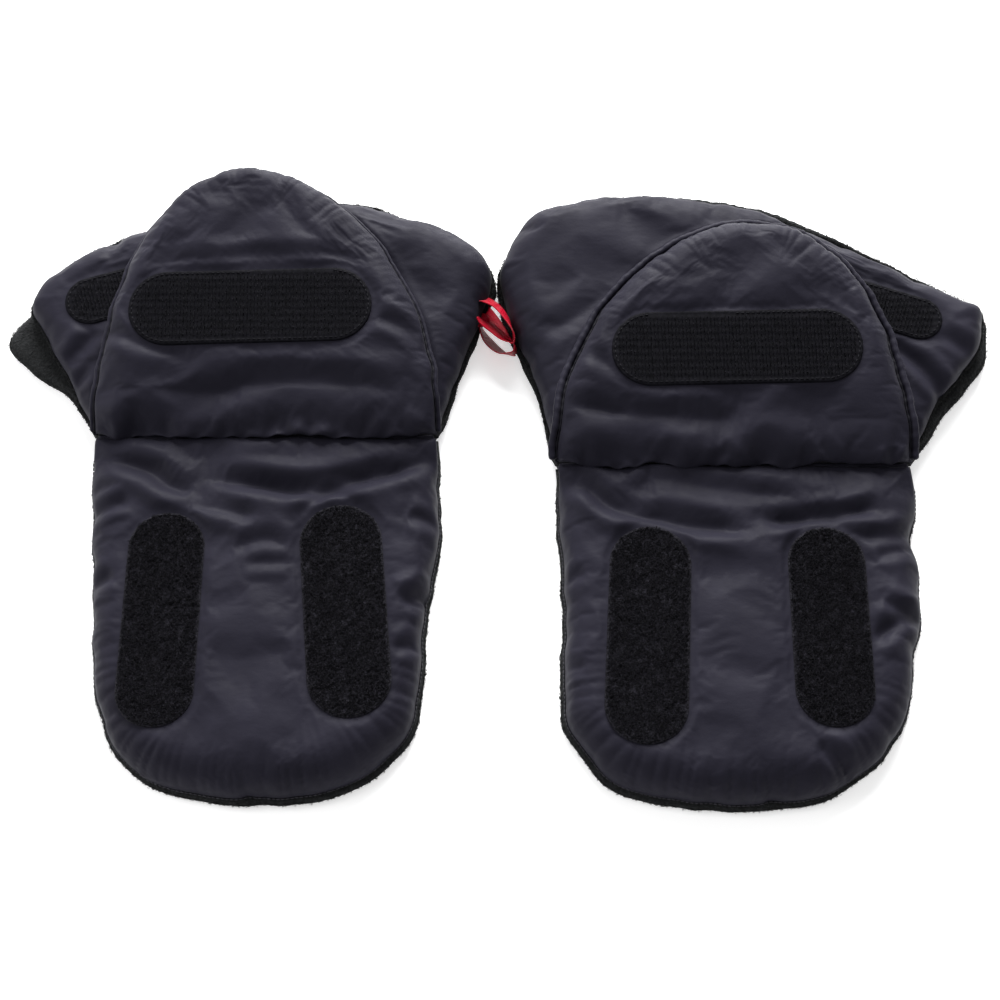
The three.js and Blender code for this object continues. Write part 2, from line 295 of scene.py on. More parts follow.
def puckered(outline, seed, swing=0.55, pitch=8):
    """The outline pulled in and out by a smooth random run, as a gathered seam is."""
    rng = np.random.default_rng(seed)
    run = np.arange(len(outline)) / len(outline)
    length = np.linalg.norm(np.diff(outline, axis=0), axis=1).sum()
    knots = int(length / pitch)
    pulls = np.column_stack([np.linspace(0, 1, knots), swing * rng.uniform(-1, 1, knots)])
    pulls[[0, -1], 1] = 0
    curve = catmull_rom(pulls, 8)
    return inset(outline, np.interp(run, curve[:, 0], curve[:, 1]))


def sewn_outline(mitt, edge, y):
    """A smooth curve through the named edge's points, from the fold's outer end to its inner end."""
    points = [(-mitt["half"], y)] + mitt[edge] + [(mitt["half"], y)]
    return puckered(resample(catmull_rom(points), EDGE_POINTS), 21)


def arch_outline(mitt):
    """Half an ellipse whose middle leans outwards with the square of its rise."""
    turn = np.linspace(math.pi, 0, 200)
    rise = np.sin(turn)
    x = mitt["half"] * np.cos(turn) + mitt["lean"] * rise**2
    arch = np.stack([x, 0.6 + (mitt["top_length"] - ARCH_TURN) * rise], 1)
    return puckered(resample(arch, EDGE_POINTS), 22, 0.7)


# %% [markdown]
# ## Creases and gathers
#
# Nylon taffeta doesn't stretch, so where the wadding pushes or the fold pulls it goes into sharp
# little valleys. Long creases follow listed lines. The gathers along a curved seam are a wave
# that runs along the seam and dies out inwards. Both are worked out as heights, so that they can be
# added to a panel before it is made.

# %% Crease helpers
CREASE_SOFTNESS = 1.5
CREASE_DEPTH = 1.6
CREASE_POINTS = 120
CREASE_END = 0.15  # what is left of a crease at its two ends


def crease(points, line, depth, width):
    """Depth times a bell across the line, fading at both ends, with a small ridge beside it."""
    path = resample(catmull_rom(line, 12), CREASE_POINTS)
    gap = np.linalg.norm(points[:, None, :] - path[None], axis=2)
    nearest = gap.argmin(1)
    d = gap[np.arange(len(points)), nearest] / (width * CREASE_SOFTNESS)
    along = nearest / (CREASE_POINTS - 1)
    fade = np.clip(np.minimum(along, 1 - along) * 5 + CREASE_END, 0, 1)
    fade = np.where((along == 0) | (along == 1), CREASE_END, fade)
    return CREASE_DEPTH * depth * fade * (-np.exp(-d**2) + 0.45 * np.exp(-(d - 2.2) ** 2))


def gathers(distance, along, rng, height, reach, pitch):
    """Rounded puffs with sharp valleys between them, the root of a sine, in an uneven run along the
    seam that dies out inwards."""
    total = along.max() + 1e-6
    knots = max(int(total / pitch), 4)
    phase = np.interp(along, np.linspace(0, total, knots), np.cumsum(rng.uniform(0.4, 1.6, knots)))
    sizes = rng.uniform(0.2, 1.0, knots // 2 + 2)
    size = np.interp(along, np.linspace(0, total, len(sizes)), sizes)
    puff = np.sqrt(np.abs(np.sin(math.pi * phase))) - 0.75
    return height * size * 2 * puff * np.exp(-((distance / reach) ** 1.5)) * shoulder(distance, 2)


def waves(points, rng, height, pitch, count=14):
    """A soft uneven swell: the sum of sine waves with random headings and phases."""
    angle = rng.uniform(0, math.pi, count)
    scale = 2 * math.pi / (pitch * rng.uniform(0.6, 1.8, count))
    phase = rng.uniform(0, 2 * math.pi, count)
    heading = np.stack([np.cos(angle), np.sin(angle)]) * scale
    return height * np.sin(points @ heading + phase).sum(1) / math.sqrt(count)


# %% [markdown]
# ## Where the tape stiffens the cloth
#
# Hook and loop tape are stiff, so a panel stays flat under them. Each strip is measured as its middle
# line and a radius, because its ends are half circles.

# %% Under the tape
TAPE_MARGIN = 2.5
TAPE_STEP = 1.3
TAPE_SEAM = 1.0


def in_tape(points, tape, grow):
    """How deep each point lies inside a round-ended strip of tape whose edge is moved out by grow
    millimetres: the radius less the distance to the strip's middle line, so below 0 outside."""
    x, y, length, lean, width = tape
    a = math.radians(lean)
    rel = points - np.array([x, y])
    along = rel @ np.array([-math.sin(a), math.cos(a)])
    across = rel @ np.array([math.cos(a), math.sin(a)])
    radius = width / 2 + grow
    past = np.clip(np.abs(along) - (length - width) / 2, 0, None)
    return radius - np.hypot(past, across)


def stiffened(points, tapes):
    """1 under a strip of tape and 0 clear of it, with a soft step a few millimetres wide."""
    deep = np.max([in_tape(points, tape, TAPE_MARGIN) for tape in tapes], axis=0)
    return 1 / (1 + np.exp(-deep / TAPE_STEP))


def sewn_to(points, tapes):
    """Which points a strip of tape holds down, out to TAPE_SEAM millimetres past its edge."""
    return np.max([in_tape(points, tape, TAPE_SEAM) for tape in tapes], axis=0) > 0


# %% [markdown]
# ## Blowing a panel up as cloth
#
# The panel starts a little flat. Its seams and the cloth under the stiff tape are pinned, the rest
# is about a hundredth too large for its frame, and air pressure pushes it out. Cloth that has
# nowhere to go buckles, which gives the small wrinkles beside every seam. The movement is capped,
# and the result is written into the mesh, so no simulation is left on the piece.

# %% Cloth
TAFFETA = {
    "quality": 4,
    "mass": 0.15,
    "tension_stiffness": 12,
    "compression_stiffness": 12,
    "shear_stiffness": 6,
    "bending_stiffness": 0.3,
}
AIR_PRESSURE = 1.6
SPARE_CLOTH = 0.009
CLOTH_FRAMES = 12


def blow_up(obj, pinned, cap):
    """Runs cloth on obj for a few frames, then keeps each point within cap millimetres of its start:
    a move of size m becomes cap times tanh(m / cap)."""
    scene = bpy.context.scene
    count = len(obj.data.vertices)
    start = np.empty(count * 3, np.float32)
    obj.data.vertices.foreach_get("co", start)
    start = start.reshape(-1, 3)
    group = obj.vertex_groups.new(name="pinned")
    group.add(np.flatnonzero(pinned).tolist(), 1.0, "REPLACE")
    cloth = obj.modifiers.new("cloth", "CLOTH")
    for key, value in TAFFETA.items():
        setattr(cloth.settings, key, value)
    cloth.settings.use_pressure = True
    cloth.settings.uniform_pressure_force = AIR_PRESSURE
    cloth.settings.shrink_min = -SPARE_CLOTH
    cloth.settings.vertex_group_mass = "pinned"
    cloth.settings.effector_weights.gravity = 0
    cloth.collision_settings.use_collision = False
    cloth.point_cache.frame_start = 1
    cloth.point_cache.frame_end = CLOTH_FRAMES
    for step in range(1, CLOTH_FRAMES + 1):
        scene.frame_set(step)
    shaped = obj.evaluated_get(bpy.context.evaluated_depsgraph_get())
    end = np.empty(count * 3, np.float32)
    shaped.data.vertices.foreach_get("co", end)
    obj.modifiers.remove(cloth)
    obj.vertex_groups.remove(group)
    scene.frame_set(1)
    move = end.reshape(-1, 3) - start
    size = np.linalg.norm(move, axis=1)[:, None] + 1e-9
    limit = cap * MM
    move *= limit * np.tanh(size / limit) / size
    obj.data.vertices.foreach_set("co", (start + move).ravel())
    obj.data.update()
    print(obj.name, "moved at most", round(float(size.max()) / MM, 2), "mm, kept under", cap)


# %% [markdown]
# ## A padded panel
#
# Every panel is a pillow: two grids that meet along one rim, so that it is closed. Its two faces are
# heights over the same flat pattern, which makes a seam, a crown or a crease a line of arithmetic.

# %% Pillows
def outward(points, faces, mitt):
    """The faces, turned round if the closed mesh's signed volume is negative."""
    world = to_world(mitt, points)
    a, b, c, d = (world[faces[:, k]] for k in range(4))
    volume = (np.cross(b - a, c - a) * a).sum() + (np.cross(c - a, d - a) * a).sum()
    return faces if volume > 0 else faces[:, ::-1]


def pillow(mitt, name, outline, corners, top, bottom, n, lean_out=None):
    """A closed panel: two Coons grids that share their rim. top and bottom give heights from the
    points, their distance to the rim and their place along it. lean_out moves the upper points' y,
    so that a wall can bulge over its seam. Returns the object, its grid's flat points, and which of
    them are on the rim."""
    flat = coons(outline, corners, n)
    distance, along = edge_of(flat, outline)
    rim = np.zeros((n, n), bool)
    rim[[0, -1]] = True
    rim[:, [0, -1]] = True
    rim = rim.ravel()
    distance[rim] = 0
    upper = np.column_stack([flat, top(flat, distance, along)])
    if lean_out:
        upper[:, 1] += np.where(rim, 0, lean_out(flat))
    lower = np.column_stack([flat, bottom(flat, distance, along)])
    own_number = np.cumsum(~rim) - 1 + n * n
    under = np.where(rim, np.arange(n * n), own_number)
    faces = quads(n, n)
    faces = np.vstack([faces, under[faces][:, ::-1]])
    points = np.vstack([upper, lower[~rim]])
    obj = make_mesh(name, to_world(mitt, points), outward(points, faces, mitt))
    return obj, flat, rim


def puff_out(obj, held, cap=2.4):
    """Blows up a panel's upper face, all but the points that are held, and then smooths the panel."""
    pinned = np.ones(len(obj.data.vertices), bool)
    pinned[:len(held)] = held
    blow_up(obj, pinned, cap)
    smooth = obj.modifiers.new("smooth", "SUBSURF")
    smooth.levels = 1
    smooth.render_levels = 1


# %% [markdown]
# ## Finishes
#
# Every material reads Object coordinates, in metres, so its grain keeps its true size on every
# piece. Only the ribbon reads a UV map of its own, because its ribs run with its length. A few small
# helpers keep each finish down to a handful of lines.

# %% Material helpers
def material(name, color, roughness, build=None, **inputs):
    """A Principled material. build(tree, shader) adds its nodes; the rest is set on the sockets."""
    mat = bpy.data.materials.new(name)
    mat.use_nodes = True
    tree = mat.node_tree
    shader = tree.nodes["Principled BSDF"]
    shader.inputs["Base Color"].default_value = (*color, 1)
    shader.inputs["Roughness"].default_value = roughness
    for key, value in inputs.items():
        shader.inputs[key.replace("_", " ")].default_value = value
    if build:
        build(tree, shader)
    print("finish", name)
    return mat


def add(tree, kind, links=(), **values):
    """A node with its values set by name, and its inputs linked from other nodes' outputs."""
    node = tree.nodes.new(kind)
    for key, value in values.items():
        if hasattr(node, key):
            setattr(node, key, value)
        else:
            node.inputs[key.replace("_", " ")].default_value = value
    for socket, source in links:
        tree.links.new(source, node.inputs[socket])
    return node


def noise(tree, scale, detail=3.0, stretch=(1, 1, 1)):
    """Fractal noise with scale lumps to the metre, squeezed by stretch along X, Y and Z."""
    where = add(tree, "ShaderNodeTexCoord")
    spread = add(tree, "ShaderNodeMapping", [("Vector", where.outputs["Object"])], Scale=stretch)
    return add(tree, "ShaderNodeTexNoise", [("Vector", spread.outputs["Vector"])], Scale=scale,
               Detail=detail, Roughness=0.55).outputs["Fac"]


def ramp(tree, source, low, high, start=0.3, end=0.7):
    """A colour that goes from low to high as the source goes from start to end."""
    node = add(tree, "ShaderNodeValToRGB", [("Fac", source)])
    node.color_ramp.elements[0].position = start
    node.color_ramp.elements[0].color = (*low, 1)
    node.color_ramp.elements[1].position = end
    node.color_ramp.elements[1].color = (*high, 1)
    return node.outputs["Color"]


def bump(tree, height, depth, strength=1.0, below=None):
    """A normal bent by height times depth metres, laid over the normal below it."""
    links = [("Height", height)]
    if below is not None:
        links.append(("Normal", below))
    return add(tree, "ShaderNodeBump", links, Distance=depth, Strength=strength).outputs["Normal"]


def weave(tree, pitch):
    """Plain weave: warp and weft waves, a thread wide each, added. Blender's wave texture has 20
    units to a wave at scale 1."""
    where = add(tree, "ShaderNodeTexCoord").outputs["Object"]
    warp, weft = (add(tree, "ShaderNodeTexWave", [("Vector", where)], bands_direction=axis,
                      Scale=1 / (pitch * 20), Distortion=0.4).outputs["Fac"] for axis in ("X", "Y"))
    return add(tree, "ShaderNodeMath", [(0, warp), (1, weft)], operation="ADD").outputs[0]


# %% [markdown]
# ### Nylon taffeta
#
# Taffeta is a thin plain weave, almost black here. It shows a soft broad gloss rather than a
# shine, so the specular level is low and the roughness wanders a little. The weave is too fine to
# see, so it is only a faint bump under a crinkle and a wider ripple. The seam in the groove beside
# the piping is the same cloth pulled tight, darkened as painted shade, because less light gets to it.

# %% Nylon taffeta
def nylon_nodes(tree, shader):
    tint = ramp(tree, noise(tree, 28), (0.0130, 0.0122, 0.0194), (0.0178, 0.0168, 0.0260))
    tree.links.new(tint, shader.inputs["Base Color"])
    rough = ramp(tree, noise(tree, 160, 4), (0.50,) * 3, (0.62,) * 3)
    tree.links.new(rough, shader.inputs["Roughness"])
    threads = bump(tree, weave(tree, 0.0004), 0.00003, 0.12)
    crinkle = bump(tree, noise(tree, 380, 3, (1, 1.3, 1)), 0.0003, 0.18, threads)
    ripple = bump(tree, noise(tree, 90, 4, (1, 1.5, 1)), 0.0012, 0.20, crinkle)
    tree.links.new(ripple, shader.inputs["Normal"])


NYLON = material("nylon_taffeta", (0.0118, 0.0110, 0.0190), 0.55, nylon_nodes,
                 Specular_IOR_Level=0.055, Sheen_Weight=0.02, Sheen_Roughness=0.4)
# Painted shade: the seam cord in the arch's groove is coloured darker than the nylon, for the shade in
# there.
PIPING_SHADE_CLOTH = material("piping_cloth_painted_shade", (0.0052, 0.0050, 0.0082), 0.6, Specular_IOR_Level=0.10)


# %% [markdown]
# ### Fleece
#
# Fleece is a mat of short curled fibres. Two bumps of different sizes break up its surface, and
# a speckled colour, part fibre tone and part painted shade between the tufts, gives it depth. The
# fibres at its edges are real geometry, made further down.

# %% Fleece
def fleece_nodes(tree, shader):
    # Part fibre tone, part painted shade: the dark end of the ramp stands for the shade between tufts.
    tint = ramp(tree, noise(tree, 700, 5), (0.0026, 0.0029, 0.0032), (0.0160, 0.0172, 0.0185))
    tree.links.new(tint, shader.inputs["Base Color"])
    pile = bump(tree, noise(tree, 900, 5), 0.0012, 0.9)
    tufts = bump(tree, noise(tree, 260, 4), 0.0016, 0.7, pile)
    tree.links.new(tufts, shader.inputs["Normal"])


FLEECE = material("fleece_lining", (0.006, 0.007, 0.0075), 1.0, fleece_nodes,
                  Specular_IOR_Level=0.06, Sheen_Weight=0.05, Sheen_Roughness=0.7)


# %% [markdown]
# ### Loop tape
#
# The soft half of the tape is a mat of tiny loops. Their geometry carries the look, and the colour
# jumps between thread and a painted shade between threads, so the mat looks deep.

# %% Loop tape
def loop_nodes(tree, shader):
    # Thread tone, with painted shade for the gaps between threads at the ramp's dark end.
    thread_and_gap_shade = noise(tree, 1100, 4)
    tint = ramp(tree, thread_and_gap_shade, (0.0016, 0.0015, 0.0025), (0.0270, 0.0255, 0.0345), 0.40, 0.72)
    tree.links.new(tint, shader.inputs["Base Color"])
    pile = bump(tree, noise(tree, 1500, 4), 0.0010, 0.9)
    tree.links.new(pile, shader.inputs["Normal"])


LOOP = material("loop_tape", (0.006, 0.006, 0.008), 0.95, loop_nodes,
                Specular_IOR_Level=0.08, Sheen_Weight=0.02, Sheen_Roughness=0.6)


# %% [markdown]
# ### Hook tape
#
# The stiff half is a woven strip with rows of hooks. The strip and the hooks have a material each,
# since the hooks are smooth nylon and catch a little more light.

# %% Hook tape
def hook_nodes(tree, shader):
    tint = ramp(tree, noise(tree, 500, 4), (0.0016, 0.0016, 0.0026), (0.0060, 0.0057, 0.0084))
    tree.links.new(tint, shader.inputs["Base Color"])
    threads = bump(tree, weave(tree, 0.0006), 0.00015, 0.8)
    tree.links.new(threads, shader.inputs["Normal"])


def bristle_nodes(tree, shader):
    lit_and_worn = noise(tree, 420, 4)
    tint = ramp(tree, lit_and_worn, (0.0018, 0.0018, 0.0030), (0.0170, 0.0160, 0.0215), 0.38, 0.70)
    tree.links.new(tint, shader.inputs["Base Color"])


HOOK = material("hook_tape", (0.003, 0.003, 0.0045), 0.7, hook_nodes, Specular_IOR_Level=0.05)
BRISTLE = material("hook_bristles", (0.004, 0.004, 0.006), 0.5, bristle_nodes, Specular_IOR_Level=0.12)


# %% [markdown]
# ### Thread
#
# Sewing thread lies in its own groove, so it is close to the cloth in tone. The thread of the hems
# is paler, which draws the thin line along the cuff flap.

# %% Thread
def thread_nodes(tree, shader):
    tint = ramp(tree, noise(tree, 400), (0.0035, 0.0034, 0.0050), (0.0085, 0.0080, 0.0115))
    tree.links.new(tint, shader.inputs["Base Color"])
    twist = bump(tree, noise(tree, 1800, 2, (1, 3, 1)), 0.0002, 0.5)
    tree.links.new(twist, shader.inputs["Normal"])


THREAD = material("sewing_thread", (0.010, 0.0095, 0.013), 0.6, thread_nodes, Specular_IOR_Level=0.10)


def hem_nodes(tree, shader):
    tint = ramp(tree, noise(tree, 500), (0.020, 0.019, 0.026), (0.055, 0.053, 0.064))
    tree.links.new(tint, shader.inputs["Base Color"])


HEM_THREAD = material("hem_thread", (0.03, 0.029, 0.037), 0.6, hem_nodes, Specular_IOR_Level=0.2)


# %% [markdown]
# ### Satin
#
# Satin ribbon has fine ribs across its length and a clear red gloss. A wave on the ribbon's own UV
# map draws the ribs, so they follow every twist.

# %% Satin ribbon
def satin_nodes(tree, shader):
    where = add(tree, "ShaderNodeUVMap", uv_map="ribbon").outputs["UV"]
    ribs = add(tree, "ShaderNodeTexWave", [("Vector", where)], bands_direction="Y", Scale=28,
               Distortion=0.2).outputs["Fac"]
    tint = ramp(tree, ribs, (0.30, 0.0012, 0.012), (0.52, 0.004, 0.026), 0.2, 0.8)
    tree.links.new(tint, shader.inputs["Base Color"])
    tree.links.new(bump(tree, ribs, 0.00018, 0.6), shader.inputs["Normal"])


SATIN = material("red_satin", (0.32, 0.005, 0.022), 0.34, satin_nodes,
                 Specular_IOR_Level=0.22, Sheen_Weight=0.02, Sheen_Roughness=0.3)


# %% [markdown]
# ### Wadding
#
# Wadding is hidden inside the pads. It is given a plain pale finish for whoever opens one up.

# %% Wadding
def wadding_nodes(tree, shader):
    tint = ramp(tree, noise(tree, 300, 5), (0.55, 0.55, 0.53), (0.8, 0.8, 0.78))
    tree.links.new(tint, shader.inputs["Base Color"])
    tree.links.new(bump(tree, noise(tree, 500, 5), 0.0015, 0.8), shader.inputs["Normal"])


WADDING = material("wadding", (0.75, 0.75, 0.72), 1.0, wadding_nodes, Specular_IOR_Level=0.1)


# %% [markdown]
# ### Riding on the frame
#
# A finished piece rides on one body of the frame. Real pads press each other flat where they close
# over the fold. The table below says how the pieces of a flip top and of a cuff flap would flatten
# as their joint turns; here each of them only gets a mesh of its own.

# %% Finish a piece
TOP_CLOSED = 0.4  # the share of a flip top's thickness that is left where it is shut
FLAP_CLOSED = 0.84


def closing(mitt):
    """How the pads flatten as they fold together: for each body its joint, the way it flattens, the
    point that stays put, and the share of its thickness that is left at the joint's limit."""
    fold = mitt["fold"] * MM
    tilt = math.atan(SLOPE)
    up = (0.0, -math.sin(tilt), math.cos(tilt))
    seam = (fold[0], fold[1], fold[2] + 2 * MM)
    table = (fold[0], fold[1], 0.0)
    name = mitt["name"]
    return {
        f"{name}_flip_top": (f"{name}_flip_top_fold", up, seam, TOP_CLOSED),
        f"{name}_cuff_flap": (f"{name}_cuff_flap_fold", (0.0, 0.0, 1.0), table, FLAP_CLOSED),
    }


SQUASHED = {**closing(MITTS["left"]), **closing(MITTS["right"])}


def finish_piece(obj, mat, body, slot, *nodes):
    """Gives a piece its finish, the body that it rides on and the CAD nodes that it stands for."""
    obj.data.materials.append(mat)
    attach(obj, body)
    if nodes:
        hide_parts(*nodes)
    if body in SQUASHED:
        joint, axis, anchor, keep = SQUASHED[body]
        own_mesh(obj)
        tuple(axis)
        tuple(anchor)
    print(obj.name, "rides on", body, "with", len(obj.data.polygons), "faces")


# %% [markdown]
# ## Fleece fuzz and stitches
#
# Fleece has no hard edge: short curled fibres stand out of it. Each tuft here is a small arch of
# thread with a few faces. A stitch is a short rounded thread, and a row of them follows a seam.

# %% Strands
ARCH_SECTIONS = 5


def strand_faces(count, sections):
    """The faces of count strands, each of them a run of three-cornered cross-sections."""
    one = quads(sections, 3, wrap=True)
    return (one[None] + 3 * sections * np.arange(count)[:, None, None]).reshape(-1, 4)


def arches(centre, heading, lean, size, tall, thick):
    """Half rings of thread: a point is centre + size cos t heading + tall sin t lean, and a thin
    triangle is drawn round it."""
    turn = np.linspace(0, math.pi, ARCH_SECTIONS)
    reach = size[:, None] * np.cos(turn)[None]
    up = tall[:, None] * np.sin(turn)[None]
    line = centre[:, None] + reach[..., None] * heading[:, None] + up[..., None] * lean[:, None]
    side = np.cross(heading, lean)
    side /= np.linalg.norm(side, axis=1)[:, None] + 1e-9
    tri = np.stack([line - side[:, None] * thick, line + side[:, None] * thick,
                    line + lean[:, None] * thick * 1.6], 2)
    return tri.reshape(-1, 3), strand_faces(len(centre), ARCH_SECTIONS)


# %% Fuzz
FUZZ_STEPS = 4000
TUFTS = 5200
LOWEST_TUFT = 1.2


def fuzz(mitt, name, path, spread, count, body):
    """Tufts scattered round a path, standing away from it in every direction."""
    rng = np.random.default_rng(len(path) + count)
    path = resample(path, FUZZ_STEPS)
    pick = rng.integers(0, len(path), count)
    away = rng.normal(size=(count, 3))
    away /= np.linalg.norm(away, axis=1)[:, None]
    heading = np.cross(away, rng.normal(size=(count, 3)))
    heading /= np.linalg.norm(heading, axis=1)[:, None]
    centre = path[pick] + away * spread * rng.uniform(0.3, 1.0, count)[:, None] - [0, 0, 0.3]
    centre[:, 2] = np.maximum(centre[:, 2], LOWEST_TUFT)
    points, faces = arches(centre, heading, away, rng.uniform(0.3, 0.8, count),
                           rng.uniform(0.15, 0.6, count), 0.12)
    finish_piece(make_mesh(name, to_world(mitt, points), faces), FLEECE, body, "fleece")


# %% Stitches
def stitches(mitt, name, path, up, step=2.6, length=2.1, radius=0.28):
    """A row of stitches: short rounded threads laid along the path, one every step millimetres.
    Each is five rings of six points, thin at its ends, where it dips into the cloth."""
    run = np.linalg.norm(np.diff(path, axis=0), axis=1).sum()
    count = int(run / step)
    per_stitch = 8
    at = resample(path, count * per_stitch + 1)
    start = at[:-1:per_stitch]
    ahead = at[per_stitch::per_stitch] - start
    ahead /= np.linalg.norm(ahead, axis=1)[:, None] + 1e-9
    side = np.cross(ahead, [0, 0, 1])
    side /= np.linalg.norm(side, axis=1)[:, None] + 1e-9
    lift = np.cross(side, ahead)
    along = np.array([0.0, 0.12, 0.5, 0.88, 1.0]) * length
    thick = np.array([0.15, 0.85, 1.0, 0.85, 0.15]) * radius
    rise = np.array([-0.25, 0.02, 0.12, 0.02, -0.25]) + up
    turn = np.linspace(0, 2 * math.pi, 6, endpoint=False)
    ring = (side[:, None, None] * np.cos(turn)[None, None, :, None]
            + lift[:, None, None] * np.sin(turn)[None, None, :, None]) * thick[None, :, None, None]
    spine = start[:, None] + ahead[:, None] * along[None, :, None]
    spine = spine + np.array([0, 0, 1.0]) * rise[None, :, None]
    points = (spine[:, :, None] + ring).reshape(-1, 3)
    one = quads(5, 6, wrap=True)
    ends = np.array([[0, 1, 2, 3], [0, 3, 4, 5], [24, 27, 26, 25], [24, 29, 28, 27]])
    one = np.vstack([one, ends[:, ::-1]])
    faces = (one[None] + 30 * np.arange(count)[:, None, None]).reshape(-1, 4)
    if mitt["side"] < 0:
        faces = faces[:, ::-1]
    return make_mesh(name, to_world(mitt, points), faces)


# %% [markdown]
# ## The cuff flap
#
# The flap lies flat on the table. A fleece pillow below is a little larger than the nylon pillow on
# top, so its dark rim shows beyond the seam. The nylon dips into the fold, rises in a round lip and
# is creased between the fold and the two stiff loop patches.

# %% Heights of the cuff flap
FLAP_FACE = 22.3  # the flat cloth under the loop patches
FOLD_DEPTH = 19.5  # where the panels meet in the fold
FLEECE_EDGE = 4.4
NYLON_EDGE = 8.0
CORNERS = (0.385, 0.615)  # where an outline's far edge starts and ends, as shares of its length


def toward_fold(y, reach):
    """1 on the fold line, falling off as a bell over reach millimetres."""
    return np.exp(-((y / reach) ** 2))


def low_end(points, mitt):
    """0 near the fold, rising to 1 at the far end of the cuff flap."""
    return np.clip(-points[:, 1] / mitt["flap_length"] * 2 - 0.7, 0, 1)


def fleece_edge(mitt, points):
    """The height of the fleece's rim: lower at the far end, and higher by a bell at the fold."""
    away = FLEECE_EDGE - 1.4 * low_end(points, mitt)
    return away + (FOLD_DEPTH - 8) * toward_fold(points[:, 1], 12)


def nylon_edge(mitt, points):
    """The height of the nylon's seam: lower at the far end, and FOLD_DEPTH on the fold."""
    away = NYLON_EDGE - 2.6 * low_end(points, mitt)
    return away + (FOLD_DEPTH - away) * toward_fold(points[:, 1], 15)


# %% Fleece of the cuff flap
def flap_fleece(mitt, outline):
    """The fleece pillow under the flap, with fuzz round its rim."""
    name = mitt["name"]

    def top(points, distance, along):
        edge = fleece_edge(mitt, points)
        return edge + (nylon_edge(mitt, points) - 0.15 - edge) * shoulder(distance, 3)

    def base(points, distance, along):
        roundness = 5 + 9 * toward_fold(points[:, 1], 14)
        return fleece_edge(mitt, points) * (1 - shoulder(distance, roundness))

    panel, _, _ = pillow(mitt, f"{name}_flap_fleece_panel", outline, CORNERS, top, base, n=90)
    finish_piece(panel, FLEECE, f"{name}_cuff_flap", "fleece", f"{name}_cuff_flap_fleece")
    rim_line = np.column_stack([inset(outline, 0.7), fleece_edge(mitt, outline) + 0.5])[8:-8]
    fuzz(mitt, f"{name}_flap_fleece_fuzz", rim_line, 1.0, TUFTS, f"{name}_cuff_flap")


# %% Nylon of the cuff flap
NOTCH_Y = -88  # how far from the fold the notches in a side edge lie


def flap_seam(mitt, outline):
    """The nylon's outline: inside the fleece's by more on the inner side and at the far end, and
    nipped in by a bell at each notch."""
    inner = np.clip(outline[:, 0] / mitt["half"], 0, 1)
    low = np.clip(-outline[:, 1] / mitt["flap_length"], 0, 1)
    seam = inset(outline, 0.7 + 1.6 * inner * low + 1.6 * low**6)
    for x, depth in mitt["flap_notches"]:
        on_side = abs(x) > 70
        gap = np.abs(outline[:, 0] - x) + 3 * on_side * np.abs(outline[:, 1] - NOTCH_Y)
        seam = inset(seam, depth * np.exp(-((gap / 4) ** 2)))
    return seam


def flap_nylon(mitt, outline):
    """The nylon pillow on top, blown up as cloth, with a row of hem stitches along its seam."""
    name, rng = mitt["name"], mitt["rng"]
    tapes = [LOOPS[name]["outer"], LOOPS[name]["inner"]]
    seam = flap_seam(mitt, outline)

    def face(points, distance, along):
        soft = 1 - stiffened(points, tapes)
        low = low_end(points, mitt)
        edge = nylon_edge(mitt, points)
        crown = FLAP_FACE + soft * (1.7 * shoulder(distance, 40) + waves(points, rng, 0.3, 34))
        height = edge + (crown - edge) * shoulder(distance, 15 + 4 * low)
        sides = np.clip(-points[:, 1] / 30 - 0.4, 0, 1)
        height += gathers(distance, along, rng, 1.7, 12, 6.5) * sides * (0.12 + 0.88 * low)
        height += sum(crease(points, *line) for line in mitt["flap_creases"]) * soft
        return height

    def base(points, distance, along):
        return nylon_edge(mitt, points) - 0.1 * shoulder(distance, 6)

    shell, flat, rim = pillow(mitt, f"{name}_flap_nylon", seam, CORNERS, face, base, n=128)
    puff_out(shell, rim | sewn_to(flat, tapes))
    finish_piece(shell, NYLON, f"{name}_cuff_flap", "nylon",
                 f"{name}_cuff_flap_shell", f"{name}_cuff_flap_padding")
    hem = np.column_stack([inset(seam, -0.1), nylon_edge(mitt, seam) + 0.1])[12:-12]
    sewn = stitches(mitt, f"{name}_flap_hem_stitches", hem, 0.0, step=2.2, length=1.9, radius=0.3)
    finish_piece(sewn, HEM_THREAD, f"{name}_cuff_flap", "nylon")


# %% [markdown]
# ## The flip top
#
# An arched pad that slopes up behind the fold. Its lining is a thin pillow, its face a thick one,
# and the piped seam runs between them. The face hangs over the fold a little, by an uneven amount,
# so the edge between the two pads wanders as a stuffed edge does.

# %% Creases of the flip top
MITTS["left"]["top_creases"] = [
    ([(-80, 4), (-49, 10), (-16, 20), (17, 23), (70, 18)], 1.8, 3.4),
    ([(-86, 3), (-38, 5), (-15, 7)], 1.8, 2.6),
    ([(-86, 54), (-65, 43), (-38, 38)], 1.3, 2.6),
    ([(55, 57), (72, 49), (80, 34)], 1.2, 2.4),
    ([(-25, 3), (18, 10), (66, 4)], 2.2, 3.0),
    ([(-72, 84), (-31, 88), (31, 90), (57, 84)], 0.8, 2.2),
    ([(-20, 142), (-17, 126)], 0.45, 2.8),
]
MITTS["right"]["top_creases"] = [
    ([(74, 54), (61, 45), (34, 36)], 1.2, 2.6),
    ([(84, 27), (48, 21), (18, 23)], 1.3, 2.6),
    ([(60, 12), (28, 17), (-4, 20)], 1.6, 3.0),
    ([(-2, 2), (-20, 6), (-40, 2)], 2.2, 3.0),
    ([(84, 4), (46, 6), (8, 4)], 2.0, 2.8),
    ([(-56, 80), (-70, 68)], 0.9, 2.2),
    ([(-12, 129), (-16, 114)], 0.45, 2.8),
]
PLEAT_PITCH = 12.5
PLEAT_WIDTH = 1.6


